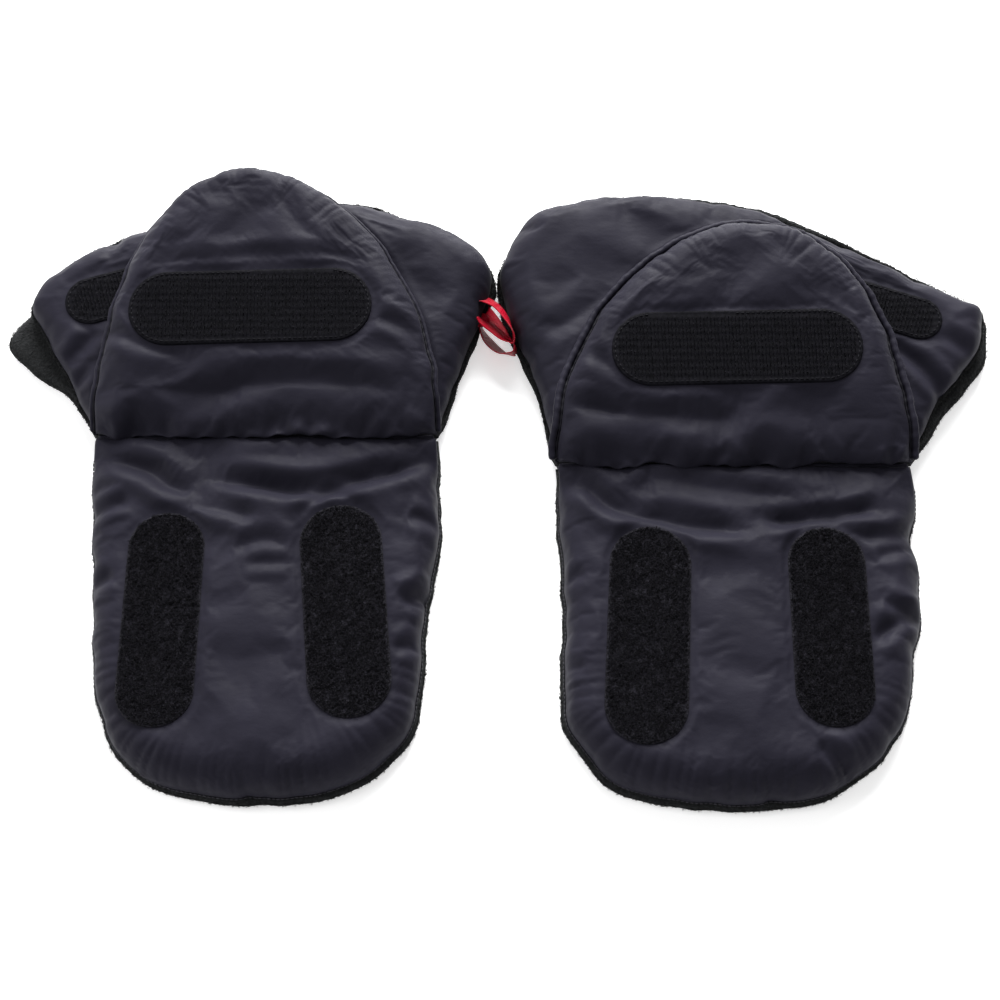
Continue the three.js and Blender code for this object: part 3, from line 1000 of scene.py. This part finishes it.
def fold_pleats(rng):
    """Short pleats that run up from the fold, one every dozen millimetres or so, each its own size."""
    at = np.arange(-76, 78, PLEAT_PITCH)
    at = at + rng.uniform(-4.5, 4.5, len(at))
    reach = rng.uniform(4, 11, len(at))
    lean = rng.uniform(-1.2, 1.2, len(at))
    depth = rng.uniform(0.4, 1.3, len(at))
    return [([(x, 0.5), (x + 0.5 * k * r, 0.5 * r), (x + k * r, r)], d, PLEAT_WIDTH)
            for x, r, k, d in zip(at, reach, lean, depth)]


def uneven(x, rng, middle, swing, pitch):
    """A smooth random run of values along x: a Catmull-Rom curve through one value every pitch."""
    knots = np.arange(-130, 131, pitch) + rng.uniform(-0.2, 0.2) * pitch
    values = middle + swing * rng.uniform(-1, 1, len(knots))
    curve = catmull_rom(np.column_stack([knots, values]), 12)
    return np.interp(x, curve[:, 0], curve[:, 1])


# %% Heights of the flip top
TOP_FACE = 13.2  # the pad's thickness at the fold, under the hook patch's plane
TOP_SWELL = 0.06  # how much thicker it gets for each millimetre away from the fold
TOP_FOOT = 4.0  # how thick the pad is where it starts at the fold
LINING = 4.5
BULGE = 5.6


def under_top(mitt, y):
    """The plane that the flip top lies on: just above the fold's height, rising with the slope."""
    return mitt["fold"][2] + 0.3 + y * SLOPE


def over_top(mitt, y):
    """The plane of the flip top's face, which its hook patch keeps flat."""
    return under_top(mitt, y) + TOP_FACE + TOP_SWELL * y


def top_seam(mitt, points):
    """The height of the arch's seam: LINING over the plane it lies on, and lifted at the fold."""
    away = under_top(mitt, points[:, 1]) + LINING
    return away + (FOLD_DEPTH + 1.2 - away) * toward_fold(points[:, 1], 13)


# %% Lining of the flip top
def top_lining(mitt, outline):
    """The thin nylon pillow that forms the arch's underside."""
    name = mitt["name"]

    def top(points, distance, along):
        return top_seam(mitt, points) + 0.2 * shoulder(distance, 5)

    def base(points, distance, along):
        edge = top_seam(mitt, points)
        return edge + (under_top(mitt, points[:, 1]) - edge) * shoulder(distance, 9)

    panel, _, _ = pillow(mitt, f"{name}_top_lining_panel", outline, CORNERS, top, base, n=72)
    finish_piece(panel, NYLON, f"{name}_flip_top", "nylon", f"{name}_flip_top_lining")


# %% Face of the flip top
def top_nylon(mitt, outline):
    """The stuffed face of the arch, blown up as cloth."""
    name, rng = mitt["name"], mitt["rng"]
    tapes = [HOOKS[name]["top"]]

    def face(points, distance, along):
        y = points[:, 1]
        flat = stiffened(points, tapes)
        edge = top_seam(mitt, points) + 0.2
        reach = uneven(points[:, 0], rng, 27, 6, 19)
        rise = 1 - np.exp(-((np.clip(y, 0, None) / reach) ** 1.25))
        rise *= 0.86 + 0.14 * np.clip(y / 40, 0, 1)
        crown = TOP_FOOT + (TOP_FACE + TOP_SWELL * y - TOP_FOOT) * rise
        swell = 1.9 * shoulder(distance, 38) * rise + waves(points, rng, 0.28, 36)
        crown = under_top(mitt, y) + crown + (1 - flat) * swell
        crown += flat * (over_top(mitt, y) - 0.4 - crown)
        height = edge + (crown - edge) * shoulder(distance, 13)
        high = np.clip(y / mitt["top_length"] * 2 - 0.8, 0, 1)
        clear_of_fold = np.clip(y / 12, 0, 1)
        height += gathers(distance, along, rng, 0.9, 10, 6) * (0.15 + 0.85 * high) * clear_of_fold
        lines = mitt["top_creases"] + fold_pleats(rng)
        height += sum(crease(points, *line) for line in lines) * (1 - flat)
        return height

    def base(points, distance, along):
        return top_seam(mitt, points) + 0.2 - 0.1 * shoulder(distance, 6)

    def bulge(points):
        """Out over the fold by about BULGE: half a wave over the wall, fullest near its foot."""
        wall = np.clip(points[:, 1] / 18, 0, 1)
        inside = np.clip((mitt["half"] - np.abs(points[:, 0])) / 12, 0, 1)
        return -uneven(points[:, 0], rng, BULGE, 2.6, 13) * np.sin(math.pi * wall**0.6) * inside

    seam = inset(outline, mitt["lip"] - 0.4)
    shell, flat, rim = pillow(mitt, f"{name}_top_nylon", seam, CORNERS, face, base, n=128, lean_out=bulge)
    puff_out(shell, rim | sewn_to(flat, tapes))
    finish_piece(shell, NYLON, f"{name}_flip_top", "nylon",
                 f"{name}_flip_top_shell", f"{name}_flip_top_padding")


# %% [markdown]
# ## The hand pocket
#
# Two flat panels, sewn together except at the outer end. The lower one shows its fleece there, as a
# dark tab beyond the nylon. The upper one drops to the seam all round and lifts at the mouth.

# %% Creases and heights of the pocket
MITTS["left"]["palm_creases"] = [
    ([(-104, 40), (-97, 50), (-89, 60)], 1.6, 2.6),
    ([(-99, 28), (-90, 44)], 1.4, 2.4),
    ([(94, 50), (100, 84), (92, 108)], 0.8, 4.0),
    ([(-88, 108), (-84, 118)], 1.0, 2.2),
]
MITTS["right"]["palm_creases"] = [
    ([(-80, 70), (-99, 54), (-114, 34)], 2.2, 2.6),
    ([(-108, 75), (-126, 64)], 1.2, 2.4),
    ([(-90, 26), (-97, 8)], 1.4, 2.4),
    ([(99, 74), (83, 79), (60, 98)], 0.8, 3.4),
    ([(54, 166), (50, 138)], 0.5, 3.4),
    ([(-60, 140), (-66, 122)], 1.0, 2.2),
]
BACK_SEAM = 4.2
BACK_TOP = 8.4
PALM_SEAM = 10.0
PALM_THICK = 6.5
MOUTH_LIFT = 5.5
POCKET_CORNERS = (0.36, 0.66)


def palm_plane(mitt, y):
    """The pocket's upper face under the flip top, two millimetres below its lining."""
    return mitt["fold"][2] - 2.3 + y * SLOPE


def at_mouth(points):
    """1 at the pocket's open end, falling to 0 round its closed edges."""
    x, y = points[:, 0], points[:, 1]
    out = np.clip((-x - 84) / 22, 0, 1)
    along = np.exp(-((np.clip(np.abs(y - 62) - 26, 0, None) / 12) ** 2))
    return out * along


def back_seam(points):
    """The height of the lower panel's seam: BACK_SEAM, raised by a bell at the fold."""
    return BACK_SEAM + (FOLD_DEPTH - 7.5) * toward_fold(points[:, 1], 9)


def palm_seam(points):
    """The height of the upper panel's seam: PALM_SEAM, raised at the mouth and at the fold."""
    edge = PALM_SEAM + MOUTH_LIFT * at_mouth(points)
    return edge + (FOLD_DEPTH + 0.6 - edge) * toward_fold(points[:, 1], 9)


# %% Lower panel of the pocket
def back_panel(mitt):
    """The nylon that lies on the table and the fleece in it, whose fuzzy edge shows as the tab."""
    name, rng = mitt["name"], mitt["rng"]
    body = f"{name}_pocket"
    outline = sewn_outline(mitt, "back", 0.8)

    def shell_top(points, distance, along):
        return back_seam(points) + 0.2 * shoulder(distance, 4)

    def shell_base(points, distance, along):
        return back_seam(points) * (1 - shoulder(distance, 6))

    shell, _, _ = pillow(mitt, f"{name}_back_nylon", inset(outline, 0.8), POCKET_CORNERS,
                         shell_top, shell_base, n=72)
    finish_piece(shell, NYLON, body, "nylon", f"{name}_back_shell", f"{name}_back_padding")

    def lining_top(points, distance, along):
        soft = waves(points, rng, 0.25, 14)
        return back_seam(points) + (BACK_TOP - BACK_SEAM + soft) * shoulder(distance, 5)

    def lining_base(points, distance, along):
        return back_seam(points) + 0.1 - 0.2 * shoulder(distance, 3)

    lining, _, _ = pillow(mitt, f"{name}_back_lining", outline, POCKET_CORNERS,
                          lining_top, lining_base, n=90)
    finish_piece(lining, FLEECE, body, "fleece", f"{name}_back_fleece")
    tab = np.column_stack([inset(outline, 1.2), back_seam(outline) + 1.5])
    fuzz(mitt, f"{name}_back_fleece_fuzz", tab[8:-8], 1.6, TUFTS, body)


# %% Upper panel of the pocket
def under_arch(points, mitt):
    """Roughly how far each point lies inside the flip top's outline, in millimetres."""
    rise = np.clip(points[:, 1] / mitt["top_length"], 0, 1.4)
    middle = mitt["lean"] * rise**2
    radius = np.hypot((points[:, 0] - middle) / mitt["half"], rise)
    return (1 - radius) * mitt["half"]


def palm_panel(mitt):
    """The nylon over the hand, blown up as cloth where the arch leaves it bare, and its fleece."""
    name, rng = mitt["name"], mitt["rng"]
    body = f"{name}_pocket"
    tapes = [HOOKS[name]["palm"]]
    outline = sewn_outline(mitt, "palm", 0.8)

    def palm_top(points, distance, along):
        tip = np.clip((np.abs(points[:, 0]) - 80) / 40, 0, 1)
        crown = palm_plane(mitt, points[:, 1]) - 2.5 * tip
        edge = palm_seam(points)
        height = edge + (crown - edge) * shoulder(distance, 17)
        open_air = 1 - np.clip(under_arch(points, mitt) / 4 + 1, 0, 1)
        stiff = stiffened(points, tapes)
        soft = open_air * (1 - stiff) * shoulder(distance, 8)
        height += soft * (waves(points, rng, 0.5, 34) + 1.5)
        height += gathers(distance, along, rng, 0.6, 8, 7) * open_air
        height += sum(crease(points, *line) for line in mitt["palm_creases"]) * (1 - stiff)
        return height + (palm_plane(mitt, points[:, 1]) - 0.1 - height) * stiff

    def palm_base(points, distance, along):
        edge = palm_seam(points)
        crown = palm_plane(mitt, points[:, 1]) - PALM_THICK
        return edge + (np.maximum(crown, edge - 0.4) - edge) * shoulder(distance - 4, 20)

    far_edge = np.clip((outline[:, 1] - 90) / 30, 0, 1) * np.clip((85 - outline[:, 0]) / 15, 0, 1)
    sewn = inset(outline, 0.6 + mitt["rim"] * far_edge)
    nylon, flat, rim = pillow(mitt, f"{name}_palm_nylon", sewn, POCKET_CORNERS,
                              palm_top, palm_base, n=110)
    puff_out(nylon, rim | sewn_to(flat, tapes) | (under_arch(flat, mitt) > -3), cap=2.5)
    finish_piece(nylon, NYLON, body, "nylon", f"{name}_palm_shell", f"{name}_palm_padding")

    def ceiling(points, distance, along):
        return palm_base(points, distance, along) - 0.3

    def ceiling_base(points, distance, along):
        """Two millimetres of fleece, where the seam is high enough to leave room for it."""
        room = palm_seam(points) > PALM_SEAM + 1.2
        return palm_base(points, distance, along) - 0.4 - 2.0 * shoulder(distance, 3) * room

    lining, _, _ = pillow(mitt, f"{name}_palm_lining", inset(outline, 0.2), POCKET_CORNERS,
                          ceiling, ceiling_base, n=72)
    finish_piece(lining, FLEECE, body, "fleece", f"{name}_palm_fleece")
    edge = np.column_stack([inset(outline, 0.8), palm_seam(outline) - 0.5])
    fuzz(mitt, f"{name}_palm_fleece_fuzz", edge[10:-10], 0.9, TUFTS, body)


# %% [markdown]
# ## Hook tape, loop tape and their stitches
#
# A patch is a strip of woven tape with round ends, sewn down near its edge. The loop side is a mat
# of tiny nylon loops. The hook side has rows of tiny hooks across the strip, inside a plain border.
# Both are real geometry, because light catches on them, and each hook or loop has only a few faces.

# %% Woven strip
STRIP_SIDES = 160


def tape_frame(tape, plane):
    """Turns (across, along, height) on the strip into the mitt's own x, y and height."""
    x, y, _, lean, _ = tape
    a = math.radians(lean)

    def to_mitt(across, along, up):
        px = x + across * math.cos(a) - along * math.sin(a)
        py = y + across * math.sin(a) + along * math.cos(a)
        return np.stack([px, py, plane(py) + up], -1)
    return to_mitt


def close_ends(obj):
    """Closes the first and last ring of a swept mesh and turns all faces outwards."""
    shape = bmesh.new()
    shape.from_mesh(obj.data)
    bmesh.ops.holes_fill(shape, edges=[e for e in shape.edges if e.is_boundary], sides=0)
    bmesh.ops.recalc_face_normals(shape, faces=shape.faces)
    shape.to_mesh(obj.data)
    shape.free()


def woven_strip(mitt, name, tape, plane, thick):
    """A closed slab with a rounded rim: one round-ended ring for each inset and height."""
    _, _, length, _, width = tape
    to_mitt = tape_frame(tape, plane)
    turn = np.linspace(0, 2 * math.pi, STRIP_SIDES, endpoint=False)
    half = width / 2
    rings = [(0.0, -1.2), (0.0, thick - 0.35), (0.3, thick), (1.2, thick), (2.4, thick - 0.05),
             (half - 0.5, thick - 0.05)]
    points = []
    for shrink, up in rings:
        radius = half - shrink
        across = radius * np.cos(turn)
        along = radius * np.sin(turn) + np.sign(np.sin(turn)) * (length / 2 - half)
        points.append(to_mitt(across, along, np.full_like(turn, up)))
    faces = quads(len(rings), STRIP_SIDES, wrap=True)
    if mitt["side"] < 0:
        faces = faces[:, ::-1]
    obj = make_mesh(name, to_world(mitt, np.concatenate(points)), faces)
    close_ends(obj)
    return obj


def tape_border(tape, plane, shrink):
    """The closed path that runs shrink millimetres inside the strip's edge."""
    _, _, length, _, width = tape
    turn = np.linspace(0, 2 * math.pi, 240)
    radius = width / 2 - shrink
    ends = np.sign(np.sin(turn)) * (length - width) / 2
    return tape_frame(tape, plane)(radius * np.cos(turn), radius * np.sin(turn) + ends, 0 * turn)


# %% Loops
LOOP_COUNT = 5200
LOOP_MARGIN = 0.9
LOOP_THREAD = 0.13


def loop_pile(mitt, name, tape, plane, base, rng):
    """A mat of little arches: each loop is a half ring of thread, scattered and turned at random."""
    _, _, length, _, width = tape
    half = width / 2 - LOOP_MARGIN
    across = rng.uniform(-half, half, LOOP_COUNT)
    along = rng.uniform(-length / 2 + LOOP_MARGIN, length / 2 - LOOP_MARGIN, LOOP_COUNT)
    past = np.clip(np.abs(along) - (length / 2 - half - LOOP_MARGIN), 0, None)
    keep = np.hypot(past, across) < half
    across, along = across[keep], along[keep]
    count = len(across)
    heading = rng.uniform(0, math.pi, count)[:, None]
    size = rng.uniform(0.45, 1.0, count)
    tall = rng.uniform(0.7, 1.7, count)
    lean = rng.normal(0, 0.45, (2, count))
    turn = np.linspace(0, math.pi, ARCH_SECTIONS)
    reach = size[:, None] * np.cos(turn)
    up = tall[:, None] * np.sin(turn)
    x = across[:, None] + reach * np.cos(heading) + lean[0][:, None] * up
    y = along[:, None] + reach * np.sin(heading) + lean[1][:, None] * up
    dx, dy = -np.sin(heading) * LOOP_THREAD, np.cos(heading) * LOOP_THREAD
    to_mitt = tape_frame(tape, plane)
    sections = np.stack([
        to_mitt(x - dx, y - dy, base + up - 0.1),
        to_mitt(x + dx, y + dy, base + up - 0.1),
        to_mitt(x, y, base + up + 0.12),
    ], 2)
    return make_mesh(name, to_world(mitt, sections.reshape(-1, 3)), strand_faces(count, ARCH_SECTIONS))


# %% Hooks
HOOK_ROW = 1.8
HOOK_GAP = 0.85
HOOK_BORDER = 3.2
HOOK_REACH = np.array([0.0, 0.0, 0.1, 0.32, 0.52, 0.56])
HOOK_RISE = np.array([-0.3, 0.6, 1.05, 1.25, 1.05, 0.75])
HOOK_THREAD = 0.16


def hook_rows(mitt, name, tape, plane, base, rng):
    """Rows of hooks across the strip. Each is a bent bristle that rises by HOOK_RISE and reaches
    along its row by HOOK_REACH, to one side or the other."""
    _, _, length, _, width = tape
    half = width / 2 - HOOK_BORDER
    rows = np.arange(-length / 2 + 4, length / 2 - 4, HOOK_ROW)
    columns = np.arange(-half, half + 0.1, HOOK_GAP)
    along, across = (g.ravel() for g in np.meshgrid(rows, columns, indexing="ij"))
    past = np.clip(np.abs(along) - (length - width) / 2, 0, None)
    keep = np.hypot(past, across) < half
    along, across = along[keep], across[keep]
    count = len(along)
    along = along + rng.normal(0, 0.10, count)
    across = across + rng.normal(0, 0.45, count)
    way = np.where(rng.random(count) > 0.5, 1.0, -1.0)[:, None]
    up = HOOK_RISE * rng.uniform(0.85, 1.1, count)[:, None]
    x = across[:, None] + way * HOOK_REACH
    y = np.repeat(along[:, None], len(HOOK_RISE), axis=1)
    to_mitt = tape_frame(tape, plane)
    sections = np.stack([
        to_mitt(x, y - HOOK_THREAD, base + up),
        to_mitt(x + way * HOOK_THREAD, y + HOOK_THREAD * 0.6, base + up + 0.05),
        to_mitt(x - way * HOOK_THREAD, y + HOOK_THREAD * 0.6, base + up + 0.05),
    ], 2)
    return make_mesh(name, to_world(mitt, sections.reshape(-1, 3)), strand_faces(count, len(HOOK_RISE)))


# %% Sew the patches on
TAPE_THICK = 0.9
TUCKED_THICK = 0.5  # the palm's hook tape, which lies under the flip top


def loop_patches(mitt):
    """The cuff flap's two loop patches, each a strip, its loops and its stitches."""
    name, rng = mitt["name"], mitt["rng"]
    body = f"{name}_cuff_flap"

    def plane(y):
        return FLAP_FACE + 0 * y

    for which, tape in LOOPS[name].items():
        strip = woven_strip(mitt, f"{name}_{which}_loop_tape", tape, plane, TAPE_THICK)
        finish_piece(strip, LOOP, body, "loop_tape", f"{name}_cuff_flap_{which}_loop_patch")
        pile = loop_pile(mitt, f"{name}_{which}_loop_pile", tape, plane, 0.85, rng)
        finish_piece(pile, LOOP, body, "loop_tape")
        border = tape_border(tape, plane, 1.3)
        sewn = stitches(mitt, f"{name}_{which}_loop_stitches", border, 0.95)
        finish_piece(sewn, THREAD, body, "loop_tape")


def hook_patch(mitt, which, plane, thick, body, node):
    """One hook patch: a strip, its hooks and its stitches."""
    name = mitt["name"]
    tape = HOOKS[name][which]
    strip = woven_strip(mitt, f"{name}_{which}_hook_tape", tape, plane, thick)
    finish_piece(strip, HOOK, body, "hook_tape", node)
    rows = hook_rows(mitt, f"{name}_{which}_hook_bristles", tape, plane, thick - 0.1, mitt["rng"])
    finish_piece(rows, BRISTLE, body, "hook_tape")
    border = tape_border(tape, plane, 1.6)
    sewn = stitches(mitt, f"{name}_{which}_hook_stitches", border, thick + 0.05)
    finish_piece(sewn, THREAD, body, "hook_tape")


def hook_patches(mitt):
    """The flip top's hook patch, and the palm's, which the flip top mostly covers."""
    name = mitt["name"]

    def top_face(y):
        return over_top(mitt, y) - 0.5

    def palm_face(y):
        return palm_plane(mitt, y)

    hook_patch(mitt, "top", top_face, TAPE_THICK, f"{name}_flip_top", f"{name}_flip_top_hook_patch")
    hook_patch(mitt, "palm", palm_face, TUCKED_THICK, f"{name}_pocket", f"{name}_palm_hook_patch")


# %% [markdown]
# ## Piping, the fleece roll and the fold
#
# The arch is edged with a covered cord that puckers a little where it is sewn, and a row of stitches
# lies in the dark groove beside it. At the pocket's far edge the fleece is turned over the nylon in
# a soft roll. A narrow cord of cloth lies in the fold, where the panels meet. All of them are tubes
# along a seam, so one helper makes them.

# %% Round cord
def tube(mitt, name, path, radius, ripple=0.0, sides=12):
    """A round cord along path, closed at both ends. Its radius, one number or one for each point of
    the path, is rippled by a sum of two uneven waves."""
    ahead = np.gradient(path, axis=0)
    ahead /= np.linalg.norm(ahead, axis=1)[:, None]
    side = np.cross(ahead, [0, 0, 1])
    side /= np.linalg.norm(side, axis=1)[:, None]
    lift = np.cross(side, ahead)
    turn = np.linspace(0, 2 * math.pi, sides, endpoint=False)
    run = np.arange(len(path))
    size = radius * (1 + ripple * (np.sin(run * 0.83) * np.sin(run * 0.31) + 0.5 * np.sin(run * 0.137)))
    size[[0, -1]] *= 0.5
    ring = (side[:, None] * np.cos(turn)[None, :, None] + lift[:, None] * np.sin(turn)[None, :, None])
    points = (path[:, None] + ring * size[:, None, None]).reshape(-1, 3)
    obj = make_mesh(name, to_world(mitt, points), quads(len(path), sides, wrap=True))
    close_ends(obj)
    return obj


# %% Piping
CORD_STEPS = 420


def piping(mitt):
    """The arch's covered cord, the seam in the groove beside it, darkened as painted shade, and the
    stitches in there.
    """
    name, lip = mitt["name"], mitt["lip"]
    body = f"{name}_flip_top"
    arch = arch_outline(mitt)
    height = top_seam(mitt, arch)
    path = np.column_stack([inset(arch, 0.4 - lip), height + lip - 1.1])
    keep = path[:, 1] > 1.5
    cord = tube(mitt, f"{name}_top_piping_cord", resample(path[keep], CORD_STEPS), lip, 0.10)
    finish_piece(cord, NYLON, body, "piping", f"{name}_flip_top_piping")
    groove = np.column_stack([inset(arch, lip - 0.6), height])[keep]
    raised = groove + [0, 0, 0.35 * lip]
    seam = tube(mitt, f"{name}_top_seam_cord", resample(raised, CORD_STEPS), 0.75, 0.3, sides=8)
    # The seam cord's dark colour is painted shade for the groove.
    finish_piece(seam, PIPING_SHADE_CLOTH, body, "piping")
    sewn = stitches(mitt, f"{name}_top_seam_stitches", groove, 0.6, step=3.0, length=2.2, radius=0.3)
    finish_piece(sewn, THREAD, body, "piping")


# %% Fleece roll
ROLL_HEIGHT = 18.3
ROLL_STEPS = 260
ROLL_TUFTS = 4200


def fleece_roll(mitt):
    """The palm's fleece, turned over the nylon at the pocket's far edge: a tube that thins towards
    its ends and towards the wing, where it also sinks, and fuzz round it."""
    name = mitt["name"]
    body = f"{name}_pocket"
    palm = sewn_outline(mitt, "palm", 0.8)
    edge = np.column_stack([inset(palm, 0.5 + mitt["rim"]), np.full(len(palm), ROLL_HEIGHT)])
    edge = resample(edge[(palm[:, 1] > 84) & (palm[:, 0] < 66)], ROLL_STEPS)
    step = np.arange(ROLL_STEPS)
    taper = np.clip(np.minimum(step, step[::-1]) / 40, 0, 1)
    thick = mitt["roll"] * (1 - 0.4 * np.clip((-edge[:, 0] - 45) / 20, 0, 1))
    thick = thick * (0.3 + 0.7 * taper)
    edge[:, 2] -= 4 * (1 - taper) ** 2 + 2.5 * np.clip((-edge[:, 0] - 60) / 50, 0, 1)
    roll = tube(mitt, f"{name}_palm_fleece_roll", edge, thick, 0.12, sides=10)
    finish_piece(roll, FLEECE, body, "fleece")
    fuzz(mitt, f"{name}_palm_roll_fuzz", edge, mitt["roll"] + 0.2, ROLL_TUFTS, body)


# %% Fold binding
def fold_binding(mitt):
    """The cord of cloth in the fold, which waves up and down a little."""
    name = mitt["name"]
    half = mitt["half"] - 2
    x = np.linspace(-half, half, 160)
    fold = np.column_stack([x, 0 * x, FOLD_DEPTH - 1.2 + 0.3 * np.sin(x * 0.4)])
    binding = tube(mitt, f"{name}_fold_binding", fold, 1.6, 0.08, sides=10)
    finish_piece(binding, NYLON, f"{name}_pocket", "nylon")


# %% [markdown]
# ## The ribbon loop
#
# A narrow satin ribbon is folded double and sewn into the closed end of the left mitt. Its two
# halves have twisted over each other, so the loop shows two small eyes. A ribbon keeps its width
# and only bends and twists, so it is a strip carried along a route, with a turn at each point.

# %% Ribbon
RIBBON_WIDTH = 10.0
RIBBON_THICK = 0.0005
TABLE_GAP = 0.8
RIBBON_ROUTE = [
    (104, 88, 10.5, 15), (109, 85, 14, 30), (113, 81.5, 18, 42), (118, 76.5, 20, 52), (122.5, 70, 19.5, 62),
    (126, 62.5, 17, 85), (125.5, 58.5, 14.5, 112), (121.5, 61, 14.5, 132), (116.5, 65.5, 15, 138),
    (111.5, 70, 15, 135), (108.8, 74, 13, 112), (109, 72, 9, 80), (112, 65, 8, 52),
    (116, 59.5, 8, 46), (121, 55, 9.0, 54), (126, 54, 11.0, 80), (126.5, 59, 11.5, 108),
    (121, 67, 9, 135), (114, 77, 8.5, 152), (106, 86, 9.5, 168),
]


def ribbon_uv(obj, across, run):
    """The ribbon's own UV map: U goes across it from 0 to 1, V along it in widths of the ribbon."""
    layer = obj.data.uv_layers.new(name="ribbon")
    index = np.empty(len(obj.data.loops), np.int32)
    obj.data.loops.foreach_get("vertex_index", index)
    uv = np.stack([np.tile(across + 0.5, len(run)), np.repeat(run, len(across))], 1)
    layer.data.foreach_set("uv", uv[index].astype(np.float32).ravel())


def ribbon_loop():
    """A strip along a smooth curve through the route's points (x, y, height, turn). The strip's
    width points across the route, turned about it by the route's fourth number in degrees."""
    route = catmull_rom(RIBBON_ROUTE, 12)
    line = to_world(MITTS["left"], route[:, :3])
    ahead = np.gradient(line, axis=0)
    ahead /= np.linalg.norm(ahead, axis=1)[:, None]
    side = np.cross(ahead, [0, 0, 1.0])
    side /= np.linalg.norm(side, axis=1)[:, None]
    lift = np.cross(side, ahead)
    turn = np.radians(route[:, 3])[:, None]
    wide = side * np.cos(turn) + lift * np.sin(turn)
    s = np.linspace(-0.5, 0.5, 9)
    points = (line[:, None] + wide[:, None] * (s * RIBBON_WIDTH * MM)[None, :, None]).reshape(-1, 3)
    points[:, 2] = np.maximum(points[:, 2], TABLE_GAP * MM)
    obj = make_mesh("ribbon_loop_satin", points, quads(len(line), len(s)))
    length = np.linalg.norm(np.diff(line, axis=0), axis=1).sum()
    ribbon_uv(obj, s, np.linspace(0, length / (RIBBON_WIDTH * MM), len(line)))
    thick = obj.modifiers.new("thickness", "SOLIDIFY")
    thick.thickness = RIBBON_THICK
    thick.offset = 0
    obj.data.materials.append(SATIN)
    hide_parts("left_ribbon_loop")
    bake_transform(obj)
    print("ribbon", round(length / MM, 1), "mm long")


# %% [markdown]
# ## Sewing the pair together
#
# The mitts are made one after the other, panel by panel, so each mitt's own random run always gives
# the same cloth. The CAD's nodes are all stood for by finer pieces. They keep a finish of their own,
# so that none is bare if it is shown.

# %% Build both mitts
for mitt in MITTS.values():
    seam_line = sewn_outline(mitt, "flap", -0.6)
    flap_fleece(mitt, seam_line)
    flap_nylon(mitt, seam_line)
    seam_line = arch_outline(mitt)
    top_lining(mitt, seam_line)
    top_nylon(mitt, seam_line)
    back_panel(mitt)
    palm_panel(mitt)
    loop_patches(mitt)
    hook_patches(mitt)
    piping(mitt)
    fleece_roll(mitt)
    fold_binding(mitt)
ribbon_loop()

for name, node in frame["nodes"].items():
    node.data.materials.clear()
    node.data.materials.append(WADDING if "padding" in name else NYLON)
print(len(frame["nodes"]), "CAD nodes finished")

# %% [markdown]
# ## Floor, light and camera
#
# The mitts lie on a pale floor that glows a little, under a bright even sky. One broad light from
# beyond them draws the gloss along the pads, and a small one from the left lifts the shadows. The
# camera looks down steeply from the wearer's side.

# %% Floor and sky
FLOOR_REACH = 4.0
SKY_STRENGTH = 0.46

floor = bpy.data.meshes.new("floor")
corners = [(x * FLOOR_REACH, y * FLOOR_REACH, 0) for x, y in ((-1, -1), (1, -1), (1, 1), (-1, 1))]
floor.from_pydata(corners, [], [(0, 1, 2, 3)])
floor_obj = bpy.data.objects.new("floor", floor)
floor_obj.location.z = -0.0004
bpy.context.scene.collection.objects.link(floor_obj)
floor.materials.append(material("pale_floor", (0.93, 0.93, 0.93), 0.9, Specular_IOR_Level=0.1,
                                Emission_Color=(1, 1, 1, 1), Emission_Strength=0.5))

world = bpy.data.worlds.new("sky")
bpy.context.scene.world = world
world.use_nodes = True
sky = world.node_tree.nodes["Background"]
sky.inputs["Color"].default_value = (1, 1, 1, 1)
sky.inputs["Strength"].default_value = SKY_STRENGTH


# %% Lights
def point_at(obj, place, aim):
    """Puts obj at place and turns its -Z axis, along which lights and cameras look, towards aim."""
    obj.location = place
    obj.rotation_euler = (Vector(aim) - Vector(place)).to_track_quat("-Z", "Y").to_euler()


def area_light(name, place, size, watts):
    """A round soft light that is aimed at the middle of the table."""
    data = bpy.data.lights.new(name, "AREA")
    data.shape = "DISK"
    data.size = size
    data.energy = watts
    lamp = bpy.data.objects.new(name, data)
    bpy.context.scene.collection.objects.link(lamp)
    point_at(lamp, place, (0, 0, 0))
    print(name, watts, "W")


area_light("broad_light", (0.1, 1.95, 1.0), 1.8, 148)
area_light("fill_light", (-1.6, 0.0, 0.9), 1.0, 13)

# %% Camera
ELEVATION = math.radians(64)
DISTANCE = 0.95
AIM = (-0.0016, -0.0161, 0.020)

camera = bpy.data.cameras.new("camera")
camera.sensor_width = 36
camera.lens = 68.4
view = bpy.data.objects.new("camera", camera)
bpy.context.scene.collection.objects.link(view)
bpy.context.scene.camera = view
back, up = DISTANCE * math.cos(ELEVATION), DISTANCE * math.sin(ELEVATION)
point_at(view, (AIM[0], AIM[1] - back, AIM[2] + up), AIM)
bpy.context.scene.view_settings.view_transform = "Standard"
print("camera at", [round(c, 3) for c in view.location])
